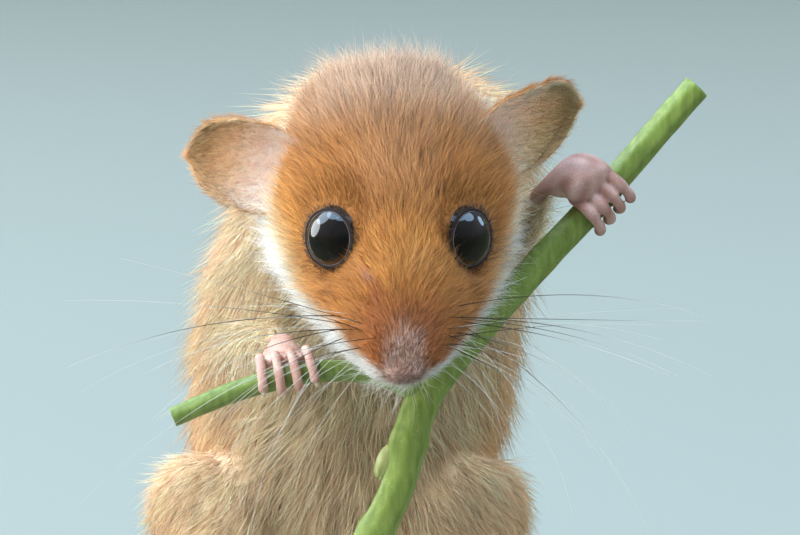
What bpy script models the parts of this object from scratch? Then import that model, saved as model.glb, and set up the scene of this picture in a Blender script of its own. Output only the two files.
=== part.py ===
"""Hazel dormouse, life size, clinging to a cut length of green stem on a plain display stand.

The coat is short and lies close, so every solid of the animal reaches out to the tips of its coat.
Each node is shaped on its own and then parted from its neighbours by a gap of 0.3 mm.
Sizes are in metres, written as millimetres times MM; +Z is up and the animal faces -Y.
"""

import math

import bmesh
import bpy
import numpy as np

MM = 0.001
GAP = 0.3 * MM

# The pose is set out across, up and back from the middle of the face, on a line that looks 12 degrees down
SIGHT_DOWN = math.radians(12)
FACE_MIDDLE = np.array([0.0, -22.0, 84.0]) * MM
RIGHT = np.array([1.0, 0.0, 0.0])
UP = np.array([0.0, math.sin(SIGHT_DOWN), math.cos(SIGHT_DOWN)])
BACK = np.array([0.0, math.cos(SIGHT_DOWN), -math.sin(SIGHT_DOWN)])
POSE_AXES = np.array([RIGHT, UP, BACK])

# The head hangs forward from the neck and is turned a little to its own left
HEAD_NOD = math.radians(47)
HEAD_TURN = math.radians(4.5)
EYE_MIDDLE = (-0.1, 2.4, 2.0)

# Eyes: a ball each side, looking out, forward and up from the middle of the head
EYE_RADIUS = 2.75 * MM
EYE_PLACE = (4.45, 0.1, 0.1)
EYE_LOOKS = (0.66, 0.557, 0.50)
LID_RADIUS = 2.72 * MM
LID_THICK = 0.42 * MM
LID_HEIGHT = 1.30 * MM
SOCKET_REACH = 5.4 * MM

# Head sections from nose to nape: forward, top, foot, level of the widest place, half width, in millimetres
HEAD_SECTIONS = (
    (11.45, -2.45, -4.45, -3.45, 1.15),
    (10.9, -1.65, -5.15, -3.5, 2.15),
    (9.8, -0.6, -5.9, -3.6, 3.1),
    (8.0, 0.7, -6.7, -3.8, 4.2),
    (5.8, 2.1, -7.6, -4.1, 5.4),
    (3.2, 3.7, -8.5, -4.4, 6.8),
    (0.4, 5.1, -9.2, -4.6, 8.2),
    (-2.8, 6.4, -9.7, -4.6, 9.6),
    (-6.2, 7.3, -9.9, -4.3, 10.5),
    (-9.6, 7.6, -9.8, -3.7, 10.6),
    (-12.9, 7.0, -9.2, -2.9, 9.8),
    (-15.8, 5.3, -7.8, -2.1, 8.0),
    (-17.9, 3.0, -5.7, -1.5, 5.4),
    (-18.9, 1.0, -3.6, -1.3, 2.8),
)
NOSE_TIP = (11.8, -3.45)
NAPE_END = (-19.4, -1.3)

# Nose, mouth and chin, in the head's own frame
NOSE_PAD = dict(place=(0.0, 11.15, -3.2), radii=(1.4, 0.9, 1.05))
NOSTRIL = dict(place=(0.86, 11.75, -3.5), radii=(0.38, 0.5, 0.32))
MOUTH_FRONT, MOUTH_CORNER = 10.2, 6.6
MOUTH_LEVELS = (-5.2, -6.1)
MOUTH_GROOVE = 0.3 * MM
CHIN = dict(place=(0.0, 5.6, -6.4), radii=(2.7, 3.1, 1.35))

# Ears: length, half width, depth of the cup, lean to the back and thickness of the leaf
EAR_LENGTH = 11.3 * MM
EAR_HALF_WIDTH = 3.95 * MM
EAR_CUP = 2.2 * MM
EAR_LEAN = 1.2 * MM
EAR_THICK = 0.75 * MM

# Trunk sections from shoulders to rump: level, middle across, middle back, half width, half depth
TORSO_SECTIONS = (
    (17.7, 0.6, 27.6, 4.6, 4.6),
    (16.3, 0.3, 27.4, 8.0, 7.6),
    (13.0, -0.4, 27.2, 11.7, 10.8),
    (7.0, -1.2, 28.4, 13.6, 13.0),
    (1.0, -2.6, 30.4, 14.6, 14.0),
    (-6.0, -3.7, 32.4, 15.1, 14.4),
    (-13.0, -4.4, 33.5, 14.7, 14.2),
    (-20.0, -5.0, 33.4, 13.2, 13.0),
    (-26.0, -5.5, 33.0, 10.4, 10.6),
    (-29.6, -5.8, 32.6, 7.0, 7.6),
    (-31.4, -5.9, 32.4, 4.0, 4.4),
)
TORSO_TOP = (18.2, 0.7, 27.8)
TORSO_FOOT = (-32.2, -6.0, 32.3)

# Neck and tail run along lines in the pose's own frame, with half widths at each place
NECK_LINE = ((0.2, 7.5, 9), (0.2, 6.8, 14), (0.0, 5.8, 19), (-0.2, 5.0, 23))
NECK_HALF_WIDTHS = (9.0, 10.2, 11.0, 11.6)
TAIL_LINE = (
    (-6, -26, 34), (-6.2, -33, 38), (-5.5, -41, 42.3), (-2.5, -49.5, 43),
    (2.5, -57, 38.6), (8, -61.8, 31), (13.5, -63.8, 22.5), (18, -64, 14),
)
TAIL_HALF_WIDTHS = (4.4, 4.1, 3.7, 3.6, 3.7, 3.7, 3.3, 1.7)
TAIL_CUTS = (0.0, 0.36, 0.68, 1.0)

# Legs: shoulder or hip, elbow or knee, wrist or ankle
FORELEG_LINES = dict(
    left=((6.0, 3.0, 24.0), (8.7, 1.8, 23.2), (10.6, 4.8, 20.6), (12.2, 6.7, 17.6)),
    right=((-8.0, -1.0, 25.4), (-11.4, -6.0, 25.2), (-11.0, -6.3, 20.6), (-9.8, -6.0, 16.6)),
)
FORELEG_HALF_WIDTHS = (6.2, 3.9, 2.5, 1.5)
HINDLEG_LINES = dict(
    left=((2.6, -20.0, 31.5), (7.0, -24.0, 24.2), (5.2, -28.6, 21.8), (1.6, -32.0, 20.4)),
    right=((-13.4, -20.0, 31.5), (-17.4, -24.0, 24.2), (-17.0, -29.4, 22.0), (-14.8, -34.6, 20.6)),
)
HINDLEG_HALF_WIDTHS = (9.6, 6.4, 3.7, 2.0)

# Stem that it grips, from the foot to the cut at the top, and the side shoot under the right forefoot
STEM_LINE = (
    (-13.5, -45, 14), (-10.1, -37, 14), (-6.0, -28, 14), (-0.7, -19.2, 14), (2.2, -10.3, 14),
    (6.6, -4.9, 14.6), (11.6, 0.5, 15.8), (16.6, 5.8, 16.8), (21.1, 11.0, 17.4), (24.6, 15.0, 17.6),
)
STEM_HALF_WIDTHS = (1.5, 1.45, 1.4, 1.4, 1.45, 1.3, 1.22, 1.18, 1.15, 1.15)
BUD = dict(place=(-1.1, -15.9, 14), radii=(0.8, 1.5, 0.8), lean=24)
STEM_RADIUS_AT_FOREFOOT = 1.2 * MM
STEM_RADIUS_AT_HINDFEET = 1.43 * MM
SHOOT_RADIUS_AT_FOREFOOT = 0.9 * MM
SHOOT_LINE = (
    (2.2, -10.3, 14), (-1.2, -8.9, 13.4), (-5, -8.4, 12.9),
    (-9.2, -8.9, 12.5), (-14, -10.3, 12.2), (-18.5, -12.2, 12),
)
SHOOT_HALF_WIDTHS = (1.15, 0.95, 0.9, 0.9, 0.85, 0.8)

# Display stand: a round base, a rod with a cup for the foot of the stem and a rod to the belly
BASE_RADIUS = 36 * MM
BASE_HEIGHT = 6 * MM
BASE_EDGE = 1.6 * MM
ROD_RADIUS = 1.25 * MM
CUP_RADIUS = 2.9 * MM
CUP_HEIGHT = 7 * MM
BELLY_ROD_PLACE = np.array([-4.0, -2.0]) * MM
BELLY_ROD_TOP = 52 * MM

COLOURS = dict(
    coat=(0.62, 0.36, 0.15), ear=(0.72, 0.47, 0.30), eye=(0.005, 0.005, 0.006),
    skin=(0.72, 0.42, 0.34), stem=(0.22, 0.36, 0.08), wood=(0.55, 0.38, 0.22), steel=(0.6, 0.6, 0.6),
)


def posed(points):
    """World places of points given in millimetres across, up and back from the middle of the face."""
    return FACE_MIDDLE + np.asarray(points, float) * MM @ POSE_AXES


def head_axes():
    """World directions of the head's left side, its nose and its crown, as rows."""
    nod, turn = HEAD_NOD, HEAD_TURN
    side = (math.cos(turn), 0.0, math.sin(turn))
    ahead = (math.sin(turn) * math.cos(nod), -math.sin(nod), -math.cos(turn) * math.cos(nod))
    crown = (math.sin(turn) * math.sin(nod), math.cos(nod), -math.cos(turn) * math.sin(nod))
    return np.array([side, ahead, crown]) @ POSE_AXES


HEAD_AXES = head_axes()


def on_head(points):
    """World places of points given in millimetres to the left, ahead and above the middle of the eyes."""
    return posed(EYE_MIDDLE) + np.asarray(points, float) * MM @ HEAD_AXES


def unit(vectors):
    """The vectors at length 1."""
    return vectors / np.linalg.norm(vectors, axis=-1, keepdims=True)


def through(places, values, at):
    """A smooth curve through the values at rising places, read at other places: cubics with mean slopes."""
    places, values, at = (np.asarray(a, float) for a in (places, values, at))
    slopes = np.gradient(values, places, axis=0)
    first = np.clip(np.searchsorted(places, at, side="right") - 1, 0, len(places) - 2)
    step = places[first + 1] - places[first]
    t = (at - places[first]) / step
    if values.ndim > 1:
        step, t = step[:, None], t[:, None]
    rise = t * t * (3 - 2 * t)
    return (
        (1 - rise) * values[first]
        + rise * values[first + 1]
        + step * (t * (1 - t) ** 2 * slopes[first] - t * t * (1 - t) * slopes[first + 1])
    )


def mesh_object(name, points, faces):
    """A mesh object from arrays of points and triangles, turned to face out."""
    corners = points[faces]
    if np.einsum("ij,ij->i", corners[:, 0], np.cross(corners[:, 1], corners[:, 2])).sum() < 0:
        faces = faces[:, ::-1]
    mesh = bpy.data.meshes.new(name)
    mesh.from_pydata(points.tolist(), [], faces.tolist())
    mesh.validate()
    made = bpy.data.objects.new(name, mesh)
    bpy.context.scene.collection.objects.link(made)
    return made


def ringed(name, rings, start, end):
    """A closed surface over rings of points, with a point at each end that its last ring closes to."""
    rows, around = rings.shape[:2]
    points = np.concatenate([rings.reshape(-1, 3), [start, end]])
    row, place = np.meshgrid(np.arange(rows - 1), np.arange(around), indexing="ij")
    here = row * around + place
    beside = row * around + (place + 1) % around
    here, beside = here.ravel(), beside.ravel()
    sides = np.concatenate(
        [np.stack([here, beside, beside + around], 1), np.stack([here, beside + around, here + around], 1)]
    )
    place = np.arange(around)
    following = (place + 1) % around
    last = (rows - 1) * around
    start_cap = np.stack([following, place, np.full(around, rows * around)], 1)
    end_cap = np.stack([place + last, following + last, np.full(around, rows * around + 1)], 1)
    return mesh_object(name, points, np.concatenate([sides, start_cap, end_cap]))


def line_through(points, spots):
    """Places and directions along a smooth line through world points, at shares of its length."""
    chords = np.concatenate([[0], np.cumsum(np.linalg.norm(np.diff(points, axis=0), axis=1))])
    shares = chords / chords[-1]
    line = through(shares, points, spots)
    nudge = 1e-3
    before = through(shares, points, np.clip(spots - nudge, 0, 1))
    after = through(shares, points, np.clip(spots + nudge, 0, 1))
    return line, unit(after - before), shares


def carried_frames(directions, hint):
    """Two directions across each place of a line, carried along it from a first hint without twisting."""
    sides = []
    side = np.asarray(hint, float)
    for direction in directions:
        side = unit(side - (side @ direction) * direction)
        sides.append(side)
    sides = np.array(sides)
    return sides, np.cross(directions, sides)


def ring_shares(along, caps):
    """Shares of a length at which rings lie: even, but drawn together near an end that rounds off."""
    even = np.linspace(0, 1, along)
    crowded = 0.5 - 0.5 * np.cos(math.pi * even)
    start_weight = 0 if caps[0] is None else 1 - even
    end_weight = 0 if caps[1] is None else even
    return even + (crowded - even) * (start_weight + end_weight)


def sweep(
    name, line, half_widths, hint=RIGHT, flatness=1.0, along=24, around=18, caps=(None, None), span=(0, 1), grow=0.0
):
    """A closed tube of changing width along a smooth line of world points.

    Flatness is its height over its width. A cap is the length over which an end rounds off, and None is a flat end.
    Span keeps a stretch of the whole line, and grow moves the whole surface outwards.
    """
    spots = span[0] + (span[1] - span[0]) * ring_shares(along, caps)
    places, directions, shares = line_through(line, spots)
    widths = through(shares, np.asarray(half_widths, float), spots) + grow
    steps = np.concatenate([[0], np.cumsum(np.linalg.norm(np.diff(places, axis=0), axis=1))])
    for cap, reach in ((caps[0], steps), (caps[1], steps[-1] - steps)):
        if cap is not None:
            widths = widths * np.sqrt(1 - (1 - np.clip((reach + grow) / (cap + grow), 0, 1)) ** 2)
    sides, tops = carried_frames(directions, hint)
    places[0] -= directions[0] * grow
    places[-1] += directions[-1] * grow
    start, end = places[0], places[-1]
    if caps[0] is not None:
        places, widths, sides, tops = places[1:], widths[1:], sides[1:], tops[1:]
    if caps[1] is not None:
        places, widths, sides, tops = places[:-1], widths[:-1], sides[:-1], tops[:-1]
    turn = np.linspace(0, 2 * math.pi, around, endpoint=False)[:, None]
    across = np.cos(turn) * sides[:, None, :] + flatness * np.sin(turn) * tops[:, None, :]
    return ringed(name, places[:, None, :] + widths[:, None, None] * across, start, end)


def ball(name, place, radii, axes=np.eye(3), rows=12, around=16):
    """An ellipsoid with its own axes, its poles on the second one."""
    fall = np.linspace(0, math.pi, rows + 1)[1:-1, None]
    turn = np.linspace(0, 2 * math.pi, around, endpoint=False)[None, :]
    unit_ball = np.stack([np.sin(fall) * np.cos(turn), np.cos(fall) + 0 * turn, np.sin(fall) * np.sin(turn)], -1)
    own = np.asarray(axes) * np.asarray(radii)[:, None]
    place = np.asarray(place)
    return ringed(name, place + unit_ball @ own, place + own[1], place - own[1])


def joined(piece, others, operation):
    """Applies one Boolean of a collection of closed mesh objects to a piece, and removes those objects."""
    group = bpy.data.collections.new("operands")
    for other in others:
        group.objects.link(other)
    change = piece.modifiers.new("boolean", "BOOLEAN")
    change.operation = operation
    change.operand_type = "COLLECTION"
    change.collection = group
    change.solver = "EXACT"
    graph = bpy.context.evaluated_depsgraph_get()
    result = bpy.data.meshes.new_from_object(piece.evaluated_get(graph))
    piece.modifiers.remove(change)
    piece.data = result
    for other in others:
        bpy.data.objects.remove(other)
    bpy.data.collections.remove(group)
    keep_largest(piece)
    return piece


def fused(piece, *others):
    """The union of closed mesh objects, as one closed body."""
    return joined(piece, others, "UNION")


def parted(piece, *others):
    """The piece with the others cut out of it."""
    return joined(piece, others, "DIFFERENCE")


def keep_largest(piece):
    """Keeps the largest closed surface of a mesh, by its volume, and drops scraps."""
    mesh = bmesh.new()
    mesh.from_mesh(piece.data)
    bmesh.ops.triangulate(mesh, faces=mesh.faces[:])
    seen, bodies = set(), []
    for seed in mesh.faces:
        if seed in seen:
            continue
        body, queue = [], [seed]
        seen.add(seed)
        while queue:
            face = queue.pop()
            body.append(face)
            edges = [edge for edge in face.edges if len(edge.link_faces) == 2]
            for beside in (other for edge in edges for other in edge.link_faces):
                if beside not in seen:
                    seen.add(beside)
                    queue.append(beside)
        bodies.append(body)

    def volume(body):
        return sum(f.verts[0].co.dot(f.verts[1].co.cross(f.verts[2].co)) for f in body)

    bodies.sort(key=volume)
    dropped = [face for body in bodies[:-1] for face in body]
    bmesh.ops.delete(mesh, geom=dropped, context="FACES")
    mesh.to_mesh(piece.data)
    mesh.free()


def head_sections(forward):
    """Top, foot, widest level and half width of the head at places from nose to nape, in millimetres."""
    table = np.array(HEAD_SECTIONS)[::-1]
    return through(table[:, 0], table[:, 1:], forward).T


def section_points(forward, turn):
    """Points of the head's outline round its own axis: an oval whose upper and lower halves differ."""
    top, foot, level, width = (row[:, None] for row in head_sections(forward))
    rise = np.sin(turn)[None, :]
    side = width * np.cos(turn)[None, :]
    height = level + np.where(rise > 0, (top - level) * rise, (level - foot) * rise)
    return np.stack([side, np.broadcast_to(forward[:, None], side.shape), height], -1)


def eye_frame(side):
    """World place of an eye's middle and the direction it looks in, for side 1 (left) or -1 (right)."""
    place = on_head(np.array(EYE_PLACE) * (side, 1, 1))
    return place, unit((np.array(EYE_LOOKS) * (side, 1, 1)) @ HEAD_AXES)


def sunk_at_eyes(points):
    """Draws the surface in round each eye to the level of its lids, with a smooth slope out to the cheek."""
    for side in (1, -1):
        middle, looks = eye_frame(side)
        offset = points - middle
        height = offset @ looks
        spread = np.linalg.norm(offset - height[..., None] * looks, axis=-1)
        rise = np.clip((spread - LID_RADIUS) / (SOCKET_REACH - LID_RADIUS), 0, 1)
        share = rise * rise * (3 - 2 * rise)
        lowered = np.minimum(height, LID_HEIGHT + (height - LID_HEIGHT) * share)
        near = (height > 0) & (spread < SOCKET_REACH)
        points = points + np.where(near, lowered - height, 0)[..., None] * looks
    return points


def head_form(name, grow=0.0, rows=26, around=32):
    """The head as one smooth form from nose to nape, without its sockets, nostrils and mouth."""
    table = np.array(HEAD_SECTIONS)
    fall = np.linspace(0, math.pi, rows + 2)[1:-1]
    middle, half = (table[0, 0] + table[-1, 0]) / 2, (table[0, 0] - table[-1, 0]) / 2
    forward = middle + half * (0.55 * np.cos(fall) + 0.45 * np.linspace(1, -1, rows))
    forward[0], forward[-1] = table[0, 0], table[-1, 0]
    turn = np.linspace(0, 2 * math.pi, around, endpoint=False)
    local = section_points(forward, turn)
    local = np.concatenate([local.reshape(-1, 3), [(0, *NOSE_TIP), (0, *NAPE_END)]])
    points = sunk_at_eyes(on_head(local))
    if grow:
        axis = on_head(np.column_stack([0 * local[:, 0], np.clip(local[:, 1], -14, 9), local[:, 1] * 0 - 2.6]))
        points = points + grow * unit(points - axis)
    return ringed(name, points[:-2].reshape(rows, around, 3), points[-2], points[-1])


def torso_form(name, grow=0.0, rows=18, around=24):
    """Chest, back and belly as one egg, from between the shoulders to the rump, in level oval sections."""
    table = np.array(TORSO_SECTIONS)[::-1]
    fall = np.linspace(0, math.pi, rows)
    middle, half = (table[0, 0] + table[-1, 0]) / 2, (table[-1, 0] - table[0, 0]) / 2
    level = middle + half * (0.6 * np.cos(fall) + 0.4 * np.linspace(1, -1, rows))
    across, back, width, depth = (row[:, None] for row in through(table[:, 0], table[:, 1:], level).T)
    turn = np.linspace(0, 2 * math.pi, around, endpoint=False)
    extra = grow / MM
    side = across + (width + extra) * np.cos(turn)
    behind = back + (depth + extra) * np.sin(turn)
    points = posed(np.stack([side, np.broadcast_to(level[:, None], side.shape), behind], -1))
    top = posed((TORSO_TOP[1], TORSO_TOP[0] + extra, TORSO_TOP[2]))
    foot = posed((TORSO_FOOT[1], TORSO_FOOT[0] - extra, TORSO_FOOT[2]))
    return ringed(name, points, top, foot)


def neck_form(name, grow=0.0):
    """The short neck under the coat, from inside the head to inside the chest."""
    widths = np.array(NECK_HALF_WIDTHS) * MM
    return sweep(name, posed(NECK_LINE), widths, along=9, around=20, caps=(4 * MM, 4 * MM), grow=grow)


def limb_forms(name, line, half_widths, grow=0.0, along=8, around=12):
    """The upper and the lower leg, each a round-ended, tapering form, before they are fused."""
    places, widths = posed(line), np.array(half_widths) * MM
    upper_caps, lower_caps = (0.8 * widths[0], 0.95 * widths[1]), (0.6 * widths[1], 1.0 * MM)
    upper = sweep(name, places[:2], widths[:2], along=along, around=around, caps=upper_caps, grow=grow)
    lower = sweep(name, places[1:], widths[1:], along=along, around=around, caps=lower_caps, grow=grow)
    return upper, lower


def stem_form(name, grow=0.0, along=26, around=10):
    """The green stem, with a swelling where the side shoot leaves and a small bud below it."""
    stem = sweep(name, posed(STEM_LINE), np.array(STEM_HALF_WIDTHS) * MM, along=along, around=around, grow=grow)
    lean = math.radians(BUD["lean"])
    upwards = math.sin(lean) * POSE_AXES[0] + math.cos(lean) * POSE_AXES[1]
    axes = np.array([np.cross(upwards, POSE_AXES[2]), upwards, POSE_AXES[2]])
    bud = ball("bud", posed(BUD["place"]), np.array(BUD["radii"]) * MM + grow, axes, 8, 10)
    return fused(stem, bud)


def shoot_form(name, grow=0.0):
    """The side shoot that the right forefoot holds, from inside the stem to its cut end."""
    return sweep(name, posed(SHOOT_LINE), np.array(SHOOT_HALF_WIDTHS) * MM, along=18, around=8, grow=grow)


def lid_ring(side):
    """The raised rim of the lids round one eye, as a ring across the direction it looks in."""
    middle, looks = eye_frame(side)
    across = unit(np.cross(looks, HEAD_AXES[2]))
    above = np.cross(across, looks)
    turn = np.linspace(0, 2 * math.pi, 20, endpoint=False)[:, None, None]
    roll = np.linspace(0, 2 * math.pi, 6, endpoint=False)[None, :, None]
    outwards = np.cos(turn) * across + np.sin(turn) * above
    middle = middle + LID_HEIGHT * looks
    points = middle + (LID_RADIUS + LID_THICK * np.cos(roll)) * outwards + LID_THICK * np.sin(roll) * looks
    big, small = points.shape[:2]
    row, place = (grid.ravel() for grid in np.meshgrid(np.arange(big), np.arange(small), indexing="ij"))
    corners = [((row + i) % big) * small + (place + j) % small for i, j in ((0, 0), (1, 0), (1, 1), (0, 1))]
    halves = [np.stack([corners[k] for k in pick], 1) for pick in ((0, 1, 2), (0, 2, 3))]
    return mesh_object("lid", points.reshape(-1, 3), np.concatenate(halves))


def mouth_groove():
    """The line of the mouth: a round groove from one corner, under the nose, to the other."""
    corner = np.linspace(-1, 1, 23)
    forward = MOUTH_CORNER + (MOUTH_FRONT - MOUTH_CORNER) * (1 - corner**2)
    level = MOUTH_LEVELS[0] + (MOUTH_LEVELS[1] - MOUTH_LEVELS[0]) * corner**2
    top, foot, widest, width = head_sections(forward)
    reach = np.clip((widest - level) / (widest - foot), 0, 1)
    side = np.sign(corner) * width * np.sqrt(1 - reach**2) * np.minimum(1, np.abs(corner) * 2.2)
    path = on_head(np.stack([side, forward + 0.25 * (1 - np.abs(corner)), level], 1))
    return sweep("mouth", path, np.full(len(path), MOUTH_GROOVE), hint=HEAD_AXES[2], along=18, around=6)


def philtrum():
    """The short cleft from between the nostrils down to the mouth."""
    path = on_head([(0, 12.1, -3.6), (0, 11.6, -4.5), (0, 10.9, -5.3)])
    return sweep("cleft", path, np.full(3, 0.2 * MM), along=8, around=6)


def build_head():
    """Head with lids, nose, nostrils, mouth and chin, and a socket for each eye."""
    head = head_form("head")
    pad = ball("pad", on_head(NOSE_PAD["place"]), np.array(NOSE_PAD["radii"]) * MM, HEAD_AXES, 8, 14)
    chin = ball("chin", on_head(CHIN["place"]), np.array(CHIN["radii"]) * MM, HEAD_AXES, 9, 14)
    head = fused(head, pad, chin, lid_ring(1), lid_ring(-1))
    cutters = [mouth_groove(), philtrum()]
    for side in (1, -1):
        middle, _ = eye_frame(side)
        cutters.append(ball("socket", middle, np.full(3, EYE_RADIUS + GAP), HEAD_AXES, 9, 16))
        place = on_head(np.array(NOSTRIL["place"]) * (side, 1, 1))
        cutters.append(ball("nostril", place, np.array(NOSTRIL["radii"]) * MM, HEAD_AXES, 6, 8))
    return parted(head, *cutters)


def build_eye(name, side):
    """One round, dark eyeball."""
    middle, _ = eye_frame(side)
    return ball(name, middle, np.full(3, EYE_RADIUS), HEAD_AXES, 9, 14)


EARS = dict(
    left=dict(root=(6.5, -7.95, 1.55), tip=(0.79, 0.33, 0.51), face=(0.36, -0.52, -0.78)),
    right=dict(root=(-7.0, -6.2, 0.55), tip=(-0.89, 0.15, 0.43), face=(-0.24, -0.28, -0.93)),
)


def ear_axes(ear):
    """World root, and directions along, across and out of the cup of an ear, set in the pose's own frame."""
    along = unit(np.array(ear["tip"]) @ POSE_AXES)
    face = np.array(ear["face"]) @ POSE_AXES
    face = unit(face - (face @ along) * along)
    return on_head(ear["root"]), along, np.cross(along, face), face


def ear_form(name, ear, rows=12, around=18):
    """A rounded, cupped ear leaf: crescent sections from its root in the head to its tip.

    Half width rises from the root as a sine and closes to the tip as a full quarter oval, and the cup deepens with it.
    """
    root, along, wide, face = ear_axes(ear)
    share = np.sin(np.linspace(0, 0.5 * math.pi, rows + 1)[:-1])[:, None]
    turn = np.linspace(0, 2 * math.pi, around, endpoint=False)[None, :]
    place = np.cos(turn)
    closing = np.sqrt(1 - (np.clip(share - 0.45, 0, 1) / 0.55) ** 2.7)
    spread = np.where(share < 0.45, 0.64 + 0.36 * np.sin(share / 0.45 * 0.5 * math.pi), closing)
    cup = EAR_CUP * spread**2 * (1 - 0.6 * share) * (1 - place**2)
    thick = EAR_THICK * (1 + 1.4 * (1 - share) ** 3) * np.sqrt(spread)
    skin = 0.5 * thick * np.sign(np.sin(turn)) * np.abs(np.sin(turn)) ** 0.6
    lean = EAR_LEAN * share**2
    points = (
        root
        + (EAR_LENGTH * share)[..., None] * along
        + (EAR_HALF_WIDTH * spread * place)[..., None] * wide
        + (skin - cup - lean)[..., None] * face
    )
    tip = root + EAR_LENGTH * 1.0 * along - EAR_LEAN * face
    return ringed(name, points, root - 0.5 * EAR_CUP * face, tip)


def build_ear(name, ear):
    """One ear as a closed leaf, parted from the head."""
    return parted(ear_form(name, ear), head_form("head_room", GAP, 16, 22))


# Feet, in millimetres: the palm's half widths, and digits that leave it at a start angle and fan out by a splay
DIGIT_PLACES = (-1.5, -0.5, 0.5, 1.5)
FOREFOOT = dict(
    spacing=1.24, splay=0.22, half_width=0.46, tip=0.36, length=4.7, start=36,
    wrist=1.7, palm=2.15, knuckles=2.25, flat=0.5, claw=1.0,
)
FIST = dict(
    FOREFOOT, spacing=1.14, splay=0.12, half_width=0.52, start=46, wrist=1.9, palm=2.3, knuckles=2.35, flat=0.72,
)
HINDFOOT = dict(
    spacing=1.38, splay=0.18, half_width=0.52, tip=0.40, length=5.4, start=34,
    wrist=1.8, palm=2.05, knuckles=2.6, flat=0.55, claw=1.1,
)
CLAW_HALF_WIDTH = 0.25 * MM
BIG_TOE = dict(length=0.62, start=20, place=-1.15)
GRIPS = dict(
    forefoot_left=dict(
        build=FIST, hold=(16.5, 5.7, 16.8), along=(0.68, 0.73, 0.1), palm=(-0.56, 0.56, -0.42), over=1,
    ),
    forefoot_right=dict(
        build=FOREFOOT, hold=(-9.2, -8.9, 12.5), along=(-0.98, -0.18, -0.08), palm=(-0.08, 0.42, 0.9), over=-1,
    ),
    hindfoot_left=dict(
        build=HINDFOOT, hold=(-6.0, -28.0, 14), along=(0.4, 0.91, 0), palm=(0.75, -0.33, 0.66), over=-1,
    ),
    hindfoot_right=dict(
        build=HINDFOOT, hold=(-9.6, -35.8, 14), along=(0.4, 0.91, 0), palm=(-0.8, 0.33, 0.6), over=1,
    ),
)


def claw_form(place, direction, curve, length):
    """A short tapered claw that bends towards the curve."""
    path = np.array([place, place + 0.55 * length * direction, place + length * (0.93 * direction + 0.42 * curve)])
    widths = CLAW_HALF_WIDTH * np.array([1, 0.75, 0.12])
    return sweep("claw", path, widths, hint=np.cross(direction, curve), along=4, around=5)


def digit_forms(hold, along, out, sense, grip_radius, build, place):
    """One digit with its claw, curled round what it grips.

    It starts over the palm and runs round the grip at its own half width off the surface, and the digits fan out.
    """
    size = build["half_width"] * MM
    distance = grip_radius + GAP + size
    arc = build["length"] * (1 - 0.05 * place**2) * MM / distance
    run = np.linspace(-0.35, 1, 7)
    angles = math.radians(build["start"]) + run * arc
    lift = distance + 0.35 * MM * np.exp(-((run - 0.15) ** 2) / 0.05)
    round_way = sense * np.cross(along, out)
    middle = hold + along * place * (build["spacing"] + build["splay"] * run[:, None]) * MM
    path = middle + (lift * np.cos(angles))[:, None] * out + (lift * np.sin(angles))[:, None] * round_way
    widths = np.array([1, 1.06, 1.0, 0.95, 0.93, 0.98, build["tip"] / build["half_width"]]) * size
    digit = sweep("digit", path, widths, hint=along, along=7, around=6, caps=(None, 0.5 * MM))
    end = angles[-1]
    heading = -math.sin(end) * out + math.cos(end) * round_way
    towards = -(math.cos(end) * out + math.sin(end) * round_way)
    root = path[-1] - 0.35 * MM * heading - 0.1 * MM * towards
    return digit, claw_form(root, heading, 0.5 * towards, build["claw"] * MM)


def foot_pieces(name, grip_radius):
    """Palm or sole, digits and claws of one foot before they are fused."""
    grip = GRIPS[name]
    build = grip["build"]
    hold = posed(grip["hold"])
    along = unit(np.array(grip["along"]) @ POSE_AXES)
    out = np.array(grip["palm"]) @ POSE_AXES
    out = unit(out - (out @ along) * along)
    sense = grip["over"]
    line = FORELEG_LINES if name.startswith("fore") else HINDLEG_LINES
    ankle = posed(line[name.split("_")[1]][-1])
    above = posed(line[name.split("_")[1]][-2])
    distance = grip_radius + GAP + 0.8 * build["knuckles"] * build["flat"] * MM
    begin = math.radians(build["start"])
    round_way = sense * np.cross(along, out)
    knuckles = hold + distance * (math.cos(begin) * out + math.sin(begin) * round_way)
    palm_middle = hold + distance * 1.12 * out
    inside = ankle + 0.3 * (above - ankle)
    path = np.array([inside, ankle, 0.45 * ankle + 0.55 * palm_middle, palm_middle, knuckles])
    widths = np.array([0.8, 0.95, build["wrist"], build["palm"], build["knuckles"]]) * MM
    palm = sweep("palm", path, widths, hint=along, flatness=build["flat"], along=8, around=10, caps=(None, 0.9 * MM))
    pieces = [palm]
    for place in DIGIT_PLACES:
        pieces += digit_forms(hold, along, out, sense, grip_radius, build, place)
    if name.startswith("hind"):
        toe = dict(build, length=BIG_TOE["length"] * build["length"], start=BIG_TOE["start"], splay=0)
        pieces += digit_forms(hold, along, out, -sense, grip_radius, toe, BIG_TOE["place"] * sense)
    return pieces


def build_foot(name, held, grip_radius, leg_rooms):
    """One foot that grips the perch, fused, and parted from what it holds and from its leg."""
    pieces = foot_pieces(name, grip_radius)
    foot = fused(pieces[0], *pieces[1:])
    foot = parted(foot, held("perch_room", GAP), *leg_rooms)
    foot.name = name
    return foot


def build_tail():
    """The furred tail in three lengths along one line, parted from each other and from the rump."""
    lengths = []
    widths = np.array(TAIL_HALF_WIDTHS) * MM
    line = posed(TAIL_LINE)
    total = np.linalg.norm(np.diff(line, axis=0), axis=1).sum()
    for count, name in enumerate(("tail_root", "tail_middle", "tail_tip")):
        begin, end = TAIL_CUTS[count], TAIL_CUTS[count + 1]
        if count:
            begin += GAP / total
        cap = 5 * MM if name == "tail_tip" else None
        lengths.append(sweep(name, line, widths, along=12, around=14, caps=(None, cap), span=(begin, end)))
    parted(lengths[0], torso_form("torso_room", GAP))
    return lengths


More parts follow.
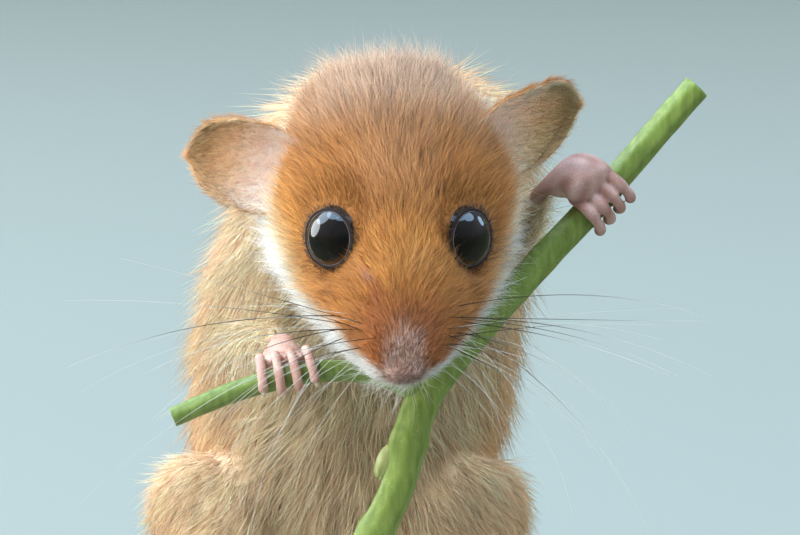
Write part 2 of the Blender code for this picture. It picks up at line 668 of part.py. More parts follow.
def build_stand():
    """Round base with an eased rim, a rod and cup under the stem and a rod up to the belly."""
    bm = bmesh.new()
    bmesh.ops.create_cone(bm, cap_ends=True, segments=48, radius1=BASE_RADIUS, radius2=BASE_RADIUS, depth=BASE_HEIGHT)
    bmesh.ops.translate(bm, vec=(0, 0, BASE_HEIGHT / 2), verts=bm.verts[:])
    rim = [edge for edge in bm.edges if all(v.co.z > BASE_HEIGHT / 2 for v in edge.verts)]
    bmesh.ops.bevel(bm, geom=rim, offset=BASE_EDGE, segments=2, profile=0.5, affect="EDGES")
    mesh = bpy.data.meshes.new("stand_base")
    bm.to_mesh(mesh)
    bm.free()
    base = bpy.data.objects.new("stand_base", mesh)
    bpy.context.scene.collection.objects.link(base)
    foot = posed(STEM_LINE[0])
    bottom = BASE_HEIGHT + GAP
    cup_bottom = foot[2] - 2.2 * MM
    sizes = (
        ("stand_rod", foot, (bottom, cup_bottom - GAP), ROD_RADIUS, 18),
        ("stand_cup", foot, (cup_bottom, cup_bottom + CUP_HEIGHT), CUP_RADIUS, 24),
        ("stand_belly_rod", BELLY_ROD_PLACE, (bottom, BELLY_ROD_TOP), ROD_RADIUS, 18),
    )
    pieces = {}
    for name, place, heights, radius, around in sizes:
        line = np.array([[place[0], place[1], height] for height in np.linspace(*heights, 3)])
        pieces[name] = sweep(name, line, np.full(3, radius), along=3, around=around)
    parted(pieces["stand_cup"], stem_form("stem_room", GAP))
    parted(pieces["stand_belly_rod"], torso_form("torso_room", GAP))
    return [base, *pieces.values()]


def painted(pieces, label, colour, roughness=0.8, metallic=0.0):
    """Gives pieces one plain finish of their colour, roughness and metal."""
    material = bpy.data.materials.new(label)
    material.use_nodes = True
    shader = material.node_tree.nodes["Principled BSDF"]
    shader.inputs["Base Color"].default_value = (*colour, 1)
    shader.inputs["Roughness"].default_value = roughness
    shader.inputs["Metallic"].default_value = metallic
    for piece in pieces:
        piece.data.materials.clear()
        piece.data.materials.append(material)
        piece.data.shade_smooth()
        piece.data.set_sharp_from_angle(angle=math.radians(50))


def build_animal():
    """Every part of the animal, each parted from those it grows from."""
    head = build_head()
    torso = parted(torso_form("torso"), head_form("head_room", GAP, 16, 22))
    neck_rooms = (head_form("head_room", GAP, 16, 22), torso_form("torso_room", GAP), stem_form("stem_room", GAP))
    neck = parted(neck_form("neck"), *neck_rooms)
    eyes = [build_eye("eye_left", 1), build_eye("eye_right", -1)]
    ears = [build_ear(f"ear_{side}", ear) for side, ear in EARS.items()]
    legs, feet = [], []
    for side in ("left", "right"):
        held, held_radius = stem_form, STEM_RADIUS_AT_FOREFOOT
        if side == "right":
            held, held_radius = shoot_form, SHOOT_RADIUS_AT_FOREFOOT
        shapes = (
            ("foreleg", "forefoot", FORELEG_LINES[side], FORELEG_HALF_WIDTHS, held, held_radius),
            ("hindleg", "hindfoot", HINDLEG_LINES[side], HINDLEG_HALF_WIDTHS, stem_form, STEM_RADIUS_AT_HINDFEET),
        )
        for kind, foot, line, widths, grip, grip_radius in shapes:
            leg = fused(*limb_forms(f"{kind}_{side}", line, widths))
            rooms = [torso_form("torso_room", GAP), neck_form("neck_room", GAP)]
            rooms += [head_form("head_room", GAP, 16, 22), stem_form("stem_room", GAP), shoot_form("shoot_room", GAP)]
            if kind == "foreleg":
                rooms += limb_forms("leg_room", HINDLEG_LINES[side], HINDLEG_HALF_WIDTHS, GAP)
            legs.append(parted(leg, *rooms))
            leg_rooms = limb_forms("leg_room", line, widths, GAP)
            feet.append(build_foot(f"{foot}_{side}", grip, grip_radius, leg_rooms))
    tail = build_tail()
    return head, torso, neck, eyes, ears, legs, feet, tail


def main():
    """Clears the scene, then builds the animal, its perch and the stand."""
    for old in list(bpy.data.objects):
        bpy.data.objects.remove(old)
    head, torso, neck, eyes, ears, legs, feet, tail = build_animal()
    stem = stem_form("perch_stem")
    shoot = parted(shoot_form("perch_shoot"), stem_form("stem_room", GAP))
    base, *metal = build_stand()
    painted([head, torso, neck, *legs, *tail], "coat", COLOURS["coat"], 0.85)
    painted(ears, "ear", COLOURS["ear"], 0.7)
    painted(eyes, "eye", COLOURS["eye"], 0.05)
    painted(feet, "skin", COLOURS["skin"], 0.55)
    painted([stem, shoot], "stem", COLOURS["stem"], 0.5)
    painted([base], "wood", COLOURS["wood"], 0.45)
    painted(metal, "steel", COLOURS["steel"], 0.3, 1.0)


main()
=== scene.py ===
"""Looks of a life-size hazel dormouse that clings to a cut green stem on a plain display stand.

Places are set out in the pose's own frame, across, up and back from the middle of the face, or in the
head's frame, to the left, ahead and above the middle of the eyes. Sizes are millimetres times MM.
"""

import logging
import math
from dataclasses import dataclass, field, replace
from enum import Enum
from itertools import product
from typing import Callable

import bmesh
import bpy
import numpy as np
from mathutils import Matrix


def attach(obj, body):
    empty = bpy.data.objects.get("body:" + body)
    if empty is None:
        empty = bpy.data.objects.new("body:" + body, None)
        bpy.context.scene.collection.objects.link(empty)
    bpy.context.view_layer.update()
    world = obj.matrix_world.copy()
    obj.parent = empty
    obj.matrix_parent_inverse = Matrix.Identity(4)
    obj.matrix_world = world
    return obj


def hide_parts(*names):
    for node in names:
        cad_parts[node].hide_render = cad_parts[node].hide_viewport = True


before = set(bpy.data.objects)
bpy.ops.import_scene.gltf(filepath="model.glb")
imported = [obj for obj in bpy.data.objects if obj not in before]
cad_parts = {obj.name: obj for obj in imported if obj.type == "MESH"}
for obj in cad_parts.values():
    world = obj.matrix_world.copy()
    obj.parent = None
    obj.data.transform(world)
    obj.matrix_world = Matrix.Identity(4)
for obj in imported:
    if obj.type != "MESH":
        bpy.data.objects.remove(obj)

log = logging.getLogger("dormouse")

Array = np.ndarray
Piece = bpy.types.Object
Mesh = bpy.types.Mesh
Material = bpy.types.Material
Socket = bpy.types.NodeSocket
Triple = tuple[float, float, float]
Pair = tuple[float, float]
MM = 0.001
BODY = "root"
TURN = 2 * math.pi


# Plain geometry


def unit(vectors: Array) -> Array:
    """The vectors at length 1."""
    return vectors / np.maximum(np.linalg.norm(vectors, axis=-1, keepdims=True), 1e-12)


def step(low: float, high: float, values: Array) -> Array:
    """A smooth rise from 0 at low to 1 at high."""
    share = np.clip((np.asarray(values, float) - low) / (high - low), 0, 1)
    return share * share * (3 - 2 * share)


def hump(middle: float, reach: float, values: Array) -> Array:
    """A smooth bell of height 1 at middle that is gone past reach on both sides."""
    return step(1, 0, np.abs(np.asarray(values, float) - middle) / reach)


def mixed(first: Array, second: Array, share: Array) -> Array:
    """First where share is 0 and second where it is 1, for rows of values."""
    share = np.asarray(share)[..., None]
    return np.asarray(first) * (1 - share) + np.asarray(second) * share


def layered(base: Triple, layers: tuple, count: int) -> Array:
    """A base colour at a number of places, with other colours laid over it, each by its own shares."""
    colour = np.tile(base, (count, 1))
    for tone, share in layers:
        colour = mixed(colour, tone, share)
    return colour


def bell(middle: float, spread: float, values: Array) -> Array:
    """A bell of height 1 at middle: e to the power of minus the squared distance over spread."""
    return np.exp(-((values - middle) ** 2) / spread)


def flattened(vectors: Array, normals: Array) -> Array:
    """The part of each vector that lies in the surface with the given normals."""
    return vectors - (vectors * normals).sum(axis=1)[:, None] * normals


def through(places: Array, values: Array, at: Array) -> Array:
    """A smooth curve through values at rising places, read at other places: cubics with mean slopes.

    Args:
        places: Rising positions of the known values.
        values: Known values, one row for each place.
        at: Positions to read.

    Returns:
        One row of values for each position read.
    """
    places, values, at = (np.asarray(a, float) for a in (places, values, at))
    slopes = np.gradient(values, places, axis=0)
    first = np.clip(np.searchsorted(places, at, side="right") - 1, 0, len(places) - 2)
    width = places[first + 1] - places[first]
    t = (at - places[first]) / width
    if values.ndim > 1:
        width, t = width[:, None], t[:, None]
    rise = t * t * (3 - 2 * t)
    bulge = width * (t * (1 - t) ** 2 * slopes[first] - t * t * (1 - t) * slopes[first + 1])
    return (1 - rise) * values[first] + rise * values[first + 1] + bulge


def ripple(points: Array, size: float, seed: int) -> Array:
    """Smooth noise from -1 to 1 in space: a mean of sine waves that run in seeded directions.

    Args:
        points: Places in metres.
        size: Rough width of one bump in metres.
        seed: Picks the waves.

    Returns:
        One value for each place.
    """
    draw = np.random.default_rng(seed)
    total = np.zeros(points.shape[:-1])
    for _ in range(7):
        way = unit(draw.normal(size=3)) * draw.uniform(0.6, 1.5)
        total += np.sin(points @ way * math.pi / size + draw.uniform(0, TURN))
    return total / 3.2


# The pose


@dataclass(frozen=True)
class Pose:
    """The frame in which the animal is posed, seen along a line that looks down at it.

    Attributes:
        sight_down: How far down the line of sight looks.
        face_middle: World place of the middle of the face, in millimetres.
        head_nod: How far the head hangs forward from level.
        head_turn: How far it turns to its own left.
        eye_middle: Middle of the eyes in the pose's own frame, in millimetres.
    """

    sight_down: float = math.radians(12)
    face_middle: Triple = (0.0, -22.0, 84.0)
    head_nod: float = math.radians(47)
    head_turn: float = math.radians(4.5)
    eye_middle: Triple = (-0.1, 2.4, 2.0)

    @property
    def axes(self) -> Array:
        """World directions across, up and back, as rows."""
        down, level = math.sin(self.sight_down), math.cos(self.sight_down)
        return np.array([[1.0, 0.0, 0.0], [0.0, down, level], [0.0, level, -down]])

    @property
    def head_axes(self) -> Array:
        """World directions of the head's left side, its nose and its crown, as rows."""
        nod, turn = self.head_nod, self.head_turn
        side = (math.cos(turn), 0.0, math.sin(turn))
        ahead = (math.sin(turn) * math.cos(nod), -math.sin(nod), -math.cos(turn) * math.cos(nod))
        crown = (math.sin(turn) * math.sin(nod), math.cos(nod), -math.cos(turn) * math.sin(nod))
        return np.array([side, ahead, crown]) @ self.axes

    def place(self, points: Array) -> Array:
        """World places of points given across, up and back, in millimetres."""
        return (np.array(self.face_middle) + np.asarray(points, float) @ self.axes) * MM

    def read(self, places: Array) -> Array:
        """World places as millimetres across, up and back."""
        return (np.asarray(places) / MM - np.array(self.face_middle)) @ self.axes.T

    def on_head(self, points: Array) -> Array:
        """World places of points given left, ahead and above the middle of the eyes, in millimetres."""
        return self.place(self.eye_middle) + np.asarray(points, float) * MM @ self.head_axes

    def in_head(self, places: Array) -> Array:
        """World places as millimetres left, ahead and above the middle of the eyes."""
        return (places - self.place(self.eye_middle)) @ self.head_axes.T / MM


POSE = Pose()


# Meshes from arrays


def new_object(name: str, points: Array, faces: Array) -> Piece:
    """A mesh object from arrays of points and of faces that all have the same number of corners.

    Args:
        name: Name of the object.
        points: World places, one row each.
        faces: Indices of the corners, one row for each face.

    Returns:
        The linked object, at the origin.
    """
    mesh = bpy.data.meshes.new(name)
    mesh.vertices.add(len(points))
    mesh.vertices.foreach_set("co", np.ascontiguousarray(points, np.float32).ravel())
    mesh.loops.add(faces.size)
    mesh.loops.foreach_set("vertex_index", np.ascontiguousarray(faces, np.int32).ravel())
    mesh.polygons.add(len(faces))
    mesh.polygons.foreach_set("loop_start", np.arange(0, faces.size, faces.shape[1], dtype=np.int32))
    mesh.update(calc_edges=True)
    mesh.shade_smooth()
    made = bpy.data.objects.new(name, mesh)
    bpy.context.scene.collection.objects.link(made)
    return made


def ring_faces(rows: int, around: int) -> Array:
    """Triangles over closed rings of points and the two poles that follow them in the list of points."""
    row, place = np.indices((rows - 1, around)).reshape(2, -1)
    here, beside = row * around + place, row * around + (place + 1) % around
    lower = np.stack([here, beside, beside + around], 1)
    upper = np.stack([here, beside + around, here + around], 1)
    place = np.arange(around)
    following, last = (place + 1) % around, (rows - 1) * around
    start = np.stack([following, place, np.full(around, rows * around)], 1)
    end = np.stack([place + last, following + last, np.full(around, rows * around + 1)], 1)
    return np.concatenate([lower, upper, start, end])


def facing_out(points: Array, faces: Array) -> Array:
    """The triangles of a closed surface, turned over where the volume that they hold is negative."""
    corners = points[faces]
    volume = np.einsum("ij,ij->i", corners[:, 0], np.cross(corners[:, 1], corners[:, 2])).sum()
    return faces[:, ::-1] if volume < 0 else faces


@dataclass
class Rings:
    """A closed surface as rings of points along a line, with a pole at each end.

    Attributes:
        points: Rows by places round each ring by 3.
        start: Pole that the first ring closes to.
        end: Pole that the last ring closes to.
    """

    points: Array
    start: Array
    end: Array

    def normals(self) -> Array:
        """Outward directions at the rings' points: the cross product of their slopes along and around."""
        along = np.gradient(self.points, axis=0)
        around = np.roll(self.points, -1, axis=1) - np.roll(self.points, 1, axis=1)
        normals = unit(np.cross(around, along))
        outwards = self.points - self.points.mean(axis=1, keepdims=True)
        return normals * np.sign(np.einsum("ijk,ijk->", normals, outwards))

    def sunk(self, depth: Array) -> "Rings":
        """The surface moved inwards.

        Args:
            depth: How far, as one number or one for each row.

        Returns:
            The sunk rings.
        """
        depth = np.broadcast_to(np.asarray(depth, float), self.points.shape[0])
        inside = self.points - self.normals() * depth[:, None, None]
        start = self.start + unit(inside[0].mean(axis=0) - self.start) * depth[0]
        end = self.end + unit(inside[-1].mean(axis=0) - self.end) * depth[-1]
        return Rings(inside, start, end)

    def arrays(self) -> tuple[Array, Array]:
        """Points and outward triangles of the closed surface."""
        points = np.concatenate([self.points.reshape(-1, 3), [self.start, self.end]])
        return points, facing_out(points, ring_faces(*self.points.shape[:2]))

    def build(self, name: str) -> Piece:
        """The closed surface as a mesh object."""
        return new_object(name, *self.arrays())


def stacked(surfaces: list[tuple[Array, Array]]) -> tuple[Array, Array]:
    """Many surfaces as one list of points and one list of faces."""
    starts = np.cumsum([0] + [len(points) for points, _ in surfaces[:-1]])
    points = np.concatenate([points for points, _ in surfaces])
    return points, np.concatenate([faces + start for (_, faces), start in zip(surfaces, starts)])


@dataclass
class Line:
    """A smooth line through world points, which carries two directions across it without twisting.

    Attributes:
        points: World points that the line goes through.
        hint: First direction across the line.
    """

    points: Array
    hint: Array = field(default_factory=lambda: np.array([1.0, 0.0, 0.0]))

    def shares(self) -> Array:
        """Shares of the length at which the points lie."""
        chords = np.concatenate([[0], np.cumsum(np.linalg.norm(np.diff(self.points, axis=0), axis=1))])
        return chords / chords[-1]

    def read(self, spots: Array) -> tuple[Array, Array, Array, Array]:
        """Places, directions and the two directions across at shares of the length."""
        nudge = 1e-3
        shares = self.shares()
        places = through(shares, self.points, spots)
        before = through(shares, self.points, np.clip(spots - nudge, 0, 1))
        after = through(shares, self.points, np.clip(spots + nudge, 0, 1))
        directions = unit(after - before)
        sides, side = [], np.asarray(self.hint, float)
        for direction in directions:
            side = unit(side - (side @ direction) * direction)
            sides.append(side)
        sides = np.array(sides)
        return places, directions, sides, np.cross(directions, sides)

    def tube(
        self, widths: Array, along: int = 40, around: int = 24, caps: Pair = (0.0, 0.0), flatness: float = 1.0
    ) -> Rings:
        """A closed tube of changing width round the line.

        Each ring is an oval across the line. Near an end with a cap its width falls as a quarter circle does.

        Args:
            widths: Half widths at the line's points.
            along: Number of rings.
            around: Number of points round each ring.
            caps: Length over which each end rounds off; 0 is a flat end.
            flatness: Height over width of the ovals.

        Returns:
            The tube's rings.
        """
        even = np.linspace(0, 1, along)
        crowded = 0.5 - 0.5 * np.cos(math.pi * even)
        start_weight = (1 - even) if caps[0] else 0
        end_weight = even if caps[1] else 0
        spots = even + (crowded - even) * (start_weight + end_weight)
        places, _, sides, tops = self.read(spots)
        half = through(self.shares(), np.asarray(widths, float), spots)
        steps = np.concatenate([[0], np.cumsum(np.linalg.norm(np.diff(places, axis=0), axis=1))])
        for cap, reach in ((caps[0], steps), (caps[1], steps[-1] - steps)):
            if cap:
                half = half * np.sqrt(1 - (1 - np.clip(reach / cap, 0, 1)) ** 2)
        turn = np.linspace(0, TURN, around, endpoint=False)[:, None]
        across = np.cos(turn) * sides[:, None, :] + flatness * np.sin(turn) * tops[:, None, :]
        kept = slice(1 if caps[0] else 0, along - 1 if caps[1] else along)
        rings = places[:, None, :] + half[:, None, None] * across
        return Rings(rings[kept], places[0], places[-1])


def ball(place: Array, radii: Array, axes: Array, rows: int = 24, around: int = 32) -> Rings:
    """An ellipsoid: rings of cosines and sines on its own axes, with its poles on the second one.

    Args:
        place: World place of its middle.
        radii: Its three radii.
        axes: Its three directions, as rows.
        rows: Rings from pole to pole.
        around: Points round each ring.

    Returns:
        The ball's rings.
    """
    fall = np.linspace(0, math.pi, rows + 1)[1:-1, None]
    turn = np.linspace(0, TURN, around, endpoint=False)[None, :]
    sphere = np.stack([np.sin(fall) * np.cos(turn), np.cos(fall) + 0 * turn, np.sin(fall) * np.sin(turn)], -1)
    own = np.asarray(axes) * np.asarray(radii)[:, None]
    return Rings(np.asarray(place) + sphere @ own, np.asarray(place) + own[1], np.asarray(place) - own[1])


def rows_of(things: bpy.types.bpy_prop_collection, key: str, width: int, kind: type) -> Array:
    """One value of each of a mesh's vertices, edges or triangles, one row each."""
    values = np.empty(len(things) * width, kind)
    things.foreach_get(key, values)
    return values.reshape(-1, width)


def points_of(mesh: Mesh) -> Array:
    """Places of a mesh's vertices."""
    return rows_of(mesh.vertices, "co", 3, np.float32).astype(float)


def normals_of(mesh: Mesh) -> Array:
    """Directions of a mesh's vertex normals."""
    return unit(rows_of(mesh.vertices, "normal", 3, np.float32).astype(float))


def set_points(mesh: Mesh, points: Array) -> None:
    """Moves a mesh's vertices to new places."""
    mesh.vertices.foreach_set("co", np.ascontiguousarray(points, np.float32).ravel())
    mesh.update()


def edges_of(mesh: Mesh) -> Array:
    """Pairs of vertex indices of a mesh's edges."""
    return rows_of(mesh.edges, "vertices", 2, np.int32)


def relaxed(values: Array, edges: Array, rounds: int, share: Array | float = 0.5) -> Array:
    """Values at vertices, each drawn towards the mean of its neighbours.

    Args:
        values: One row for each vertex.
        edges: Pairs of neighbours.
        rounds: How often it is done.
        share: How far towards the mean each time, as one number or one for each vertex.

    Returns:
        The smoothed values.
    """
    count = len(values)
    first, second = edges[:, 0], edges[:, 1]
    near = np.bincount(first, minlength=count) + np.bincount(second, minlength=count)
    weight = np.broadcast_to(np.asarray(share, float), (count,))[:, None]
    for _ in range(rounds):
        sums = [
            np.bincount(first, column[second], count) + np.bincount(second, column[first], count)
            for column in values.T
        ]
        total = np.stack(sums, 1)
        values = values + weight * (total / np.maximum(near, 1)[:, None] - values)
    return values


def remeshed(name: str, surfaces: list[tuple[Array, Array]], voxel: float) -> Piece:
    """One closed skin over overlapping closed surfaces, on a fine even grid.

    Args:
        name: Name of the new object.
        surfaces: Points and triangles of each closed surface.
        voxel: Size of the grid's cells.

    Returns:
        The object, with the remesh applied.
    """
    rough = new_object(f"{name}_rough", *stacked(surfaces))
    change = rough.modifiers.new("skin", "REMESH")
    change.mode = "VOXEL"
    change.voxel_size = voxel
    change.adaptivity = 0
    graph = bpy.context.evaluated_depsgraph_get()
    mesh = bpy.data.meshes.new_from_object(rough.evaluated_get(graph))
    mesh.name = name
    bpy.data.objects.remove(rough)
    made = bpy.data.objects.new(name, mesh)
    bpy.context.scene.collection.objects.link(made)
    mesh.shade_smooth()
    return made


def set_colours(mesh: Mesh, name: str, colours: Array) -> None:
    """Writes one linear colour for each vertex into a named attribute."""
    layer = mesh.color_attributes.new(name, "FLOAT_COLOR", "POINT")
    full = np.concatenate([np.clip(colours, 0, 1), np.ones((len(colours), 1))], 1)
    layer.data.foreach_set("color", np.ascontiguousarray(full, np.float32).ravel())


def dressed(piece: Piece, material: Material, slot: str, *nodes: str) -> Piece:
    """Gives a piece its material and its body, and hides the nodes that it stands for."""
    piece.data.materials.clear()
    piece.data.materials.append(material)
    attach(piece, BODY)
    if nodes:
        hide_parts(*nodes)
    log.info("%s: %d faces", piece.name, len(piece.data.polygons))
    return piece


# The body's forms, from the same sizes as the solids, which reach out to the tips of the coat


@dataclass
class HeadForm:
    """The head as one smooth form from nose to nape.

    Attributes:
        sections: Forward, top, foot, level of the widest place and half width, in millimetres.
        nose_tip: Forward and level of the pole at the nose.
        nape_end: Forward and level of the pole at the nape.
        depths: Forward place and depth of the coat there, in millimetres.
    """

    sections: tuple = (
        (11.45, -2.45, -4.45, -3.45, 1.15),
        (10.9, -1.65, -5.15, -3.5, 2.15),
        (9.8, -0.6, -5.9, -3.6, 3.1),
        (8.0, 0.7, -6.7, -3.8, 4.2),
        (5.8, 2.1, -7.6, -4.1, 5.4),
        (3.2, 3.7, -8.5, -4.4, 6.8),
        (0.4, 5.1, -9.2, -4.6, 8.2),
        (-2.8, 6.4, -9.7, -4.6, 9.6),
        (-6.2, 7.3, -9.9, -4.3, 10.5),
        (-9.6, 7.6, -9.8, -3.7, 10.6),
        (-12.9, 7.0, -9.2, -2.9, 9.8),
        (-15.8, 5.3, -7.8, -2.1, 8.0),
        (-17.9, 3.0, -5.7, -1.5, 5.4),
        (-18.9, 1.0, -3.6, -1.3, 2.8),
    )
    nose_tip: Pair = (11.8, -3.45)
    nape_end: Pair = (-19.4, -1.3)
    depths: tuple = ((-19.4, 1.7), (-12, 1.6), (-5, 1.15), (1, 0.7), (6, 0.45), (9.5, 0.22), (11.8, 0.08))

    def table(self) -> Array:
        """The sections from nape to nose."""
        return np.array(self.sections)[::-1]

    def read(self, forward: Array) -> Array:
        """Top, foot, widest level and half width at places from nose to nape."""
        table = self.table()
        return through(table[:, 0], table[:, 1:], forward).T

    def depth(self, forward: Array) -> Array:
        """Depth of the coat at places from nose to nape, in millimetres."""
        places, depths = np.array(self.depths).T
        return np.interp(forward, places, depths)

    def rings(self, rows: int = 110, around: int = 128) -> Rings:
        """Ovals across the head, whose upper and lower halves differ in height, drawn in at the eyes."""
        table = self.table()
        fall = np.linspace(0, math.pi, rows + 2)[1:-1]
        middle, half = (table[-1, 0] + table[0, 0]) / 2, (table[-1, 0] - table[0, 0]) / 2
        forward = middle + half * (0.55 * np.cos(fall) + 0.45 * np.linspace(1, -1, rows))
        forward[0], forward[-1] = table[-1, 0], table[0, 0]
        turn = np.linspace(0, TURN, around, endpoint=False)
        top, foot, level, width = (row[:, None] for row in self.read(forward))
        rise = np.sin(turn)[None, :]
        side = width * np.cos(turn)[None, :]
        height = level + np.where(rise > 0, (top - level) * rise, (level - foot) * rise)
        ahead = np.broadcast_to(forward[:, None], side.shape)
        points = POSE.on_head(np.stack([side, ahead, height], -1))
        ends = POSE.on_head([(0, *self.nose_tip), (0, *self.nape_end)])
        whole = Rings(points, ends[0], ends[1]).sunk(self.depth(forward) * MM)
        return Rings(EYES.sunk_at(whole.points), whole.start, whole.end)


@dataclass
class EyePlaces:
    """Where the eyes lie and look, and how the head's surface runs in to their lids.

    Attributes:
        radius: Half width of the eyeball.
        place: Middle of the left eye on the head.
        looks: Direction that it looks in, on the head.
        lid_radius: Half width of the ring that the lids make.
        lid_height: How far the lids lie in front of the eyeball's middle.
        reach: How far from the eye's line the surface starts to run in.
    """

    radius: float = 2.75 * MM
    place: Triple = (4.45, 0.1, 0.1)
    looks: Triple = (0.66, 0.557, 0.50)
    lid_radius: float = 2.2 * MM
    lid_height: float = 1.5 * MM
    reach: float = 5.4 * MM

    def frame(self, side: int) -> tuple[Array, Array, Array, Array]:
        """Middle of an eye, and its directions across, upwards and out, for side 1 (left) or -1 (right)."""
        mirror = np.array([side, 1, 1])
        looks = unit((np.array(self.looks) * mirror) @ POSE.head_axes)
        across = unit(np.cross(POSE.head_axes[2], looks))
        return POSE.on_head(np.array(self.place) * mirror), across, np.cross(looks, across), looks

    def spread(self, points: Array, side: int) -> tuple[Array, Array]:
        """Height along an eye's line and distance from it, for each point."""
        middle, _, _, looks = self.frame(side)
        offset = points - middle
        height = offset @ looks
        return height, np.linalg.norm(offset - height[..., None] * looks, axis=-1)

    def sunk_at(self, points: Array) -> Array:
        """Draws a surface in round each eye to its lids' level, with a smooth slope out to the cheek."""
        for side in (1, -1):
            looks = self.frame(side)[3]
            height, spread = self.spread(points, side)
            rise = step(self.lid_radius, self.reach, spread)
            level = self.lid_height + 0.9 * MM * step(self.lid_radius, 0, spread)
            lowered = np.minimum(height, level + (height - level) * rise)
            near = (height > 0) & (spread < self.reach)
            points = points + np.where(near, lowered - height, 0)[..., None] * looks
        return points


@dataclass
class TorsoForm:
    """Chest, back and belly as one egg, in level ovals.

    Attributes:
        sections: Level, middle across, middle back, half width and half depth, in millimetres.
        top: Level, across and back of the upper pole.
        foot: Level, across and back of the lower pole.
        depth: Depth of the coat.
    """

    sections: tuple = (
        (17.7, 0.6, 27.6, 4.6, 4.6),
        (16.3, 0.3, 27.4, 8.0, 7.6),
        (13.0, -0.4, 27.2, 11.7, 10.8),
        (7.0, -1.2, 28.4, 13.6, 13.0),
        (1.0, -2.6, 30.4, 14.6, 14.0),
        (-6.0, -3.7, 32.4, 15.1, 14.4),
        (-13.0, -4.4, 33.5, 14.7, 14.2),
        (-20.0, -5.0, 33.4, 13.2, 13.0),
        (-26.0, -5.5, 33.0, 10.4, 10.6),
        (-29.6, -5.8, 32.6, 7.0, 7.6),
        (-31.4, -5.9, 32.4, 4.0, 4.4),
    )
    top: Triple = (18.2, 0.7, 27.8)
    foot: Triple = (-32.2, -6.0, 32.3)
    depth: float = 1.9 * MM

    def rings(self, rows: int = 90, around: int = 96) -> Rings:
        """Level ovals from the shoulders to the rump, sunk by the coat's depth."""
        table = np.array(self.sections)[::-1]
        fall = np.linspace(0, math.pi, rows)
        middle, half = (table[0, 0] + table[-1, 0]) / 2, (table[-1, 0] - table[0, 0]) / 2
        level = middle + half * (0.6 * np.cos(fall) + 0.4 * np.linspace(1, -1, rows))
        across, back, width, depth = (row[:, None] for row in through(table[:, 0], table[:, 1:], level).T)
        turn = np.linspace(0, TURN, around, endpoint=False)
        side = across + width * np.cos(turn)
        behind = back + depth * np.sin(turn)
        points = POSE.place(np.stack([side, np.broadcast_to(level[:, None], side.shape), behind], -1))
        top = POSE.place((self.top[1], self.top[0], self.top[2]))
        foot = POSE.place((self.foot[1], self.foot[0], self.foot[2]))
        return Rings(points, top, foot).sunk(self.depth)


class Region(Enum):
    """Parts of the body that the coat is laid out on."""

    HEAD = "head"
    TRUNK = "trunk"
    TAIL = "tail"
    FORELEG_LEFT = "foreleg_left"
    FORELEG_RIGHT = "foreleg_right"
    HINDLEG_LEFT = "hindleg_left"
    HINDLEG_RIGHT = "hindleg_right"


REGIONS = list(Region)


@dataclass(frozen=True)
class Limb:
    """A tapering line of the body in the pose's own frame, with its half widths, in millimetres.

    Attributes:
        points: Places across, up and back.
        widths: Half width at each place, out to the tips of the coat.
        depth: Depth of the coat.
    """

    points: tuple
    widths: tuple
    depth: float

    def world(self) -> Array:
        """World places of the line."""
        return POSE.place(self.points)

    def sizes(self) -> Array:
        """Half widths of the bare limb."""
        return (np.array(self.widths) - self.depth) * MM


NECK = Limb(((0.2, 7.5, 9), (0.2, 6.8, 14), (0.0, 5.8, 19), (-0.2, 5.0, 23)), (9.0, 10.2, 11.0, 11.6), 1.7)
TAIL = Limb(
    (
        (-6, -26, 34), (-6.2, -33, 38), (-5.5, -41, 42.3), (-2.5, -49.5, 43),
        (2.5, -57, 38.6), (8, -61.8, 31), (13.5, -63.8, 22.5), (18, -64, 14),
    ),
    (4.4, 4.1, 3.7, 3.6, 3.7, 3.7, 3.3, 1.7),
    1.7,
)
FORELEG_WIDTHS = (6.2, 3.9, 2.5, 1.5)
HINDLEG_WIDTHS = (9.6, 6.4, 3.7, 2.0)
LEGS = {
    Region.FORELEG_LEFT: Limb(
        ((6.0, 3.0, 24.0), (8.7, 1.8, 23.2), (10.6, 4.8, 20.6), (12.2, 6.7, 17.6)), FORELEG_WIDTHS, 0.9
    ),
    Region.FORELEG_RIGHT: Limb(
        ((-8.0, -1.0, 25.4), (-11.4, -6.0, 25.2), (-11.0, -6.3, 20.6), (-9.8, -6.0, 16.6)),
        FORELEG_WIDTHS, 0.9,
    ),
    Region.HINDLEG_LEFT: Limb(
        ((2.6, -20.0, 31.5), (7.0, -24.0, 24.2), (5.2, -28.6, 21.8), (1.6, -32.0, 20.4)), HINDLEG_WIDTHS, 1.2
    ),
    Region.HINDLEG_RIGHT: Limb(
        ((-13.4, -20.0, 31.5), (-17.4, -24.0, 24.2), (-17.0, -29.4, 22.0), (-14.8, -34.6, 20.6)),
        HINDLEG_WIDTHS, 1.2,
    ),
}
EYES = EyePlaces()
HEAD = HeadForm()
TORSO = TorsoForm()


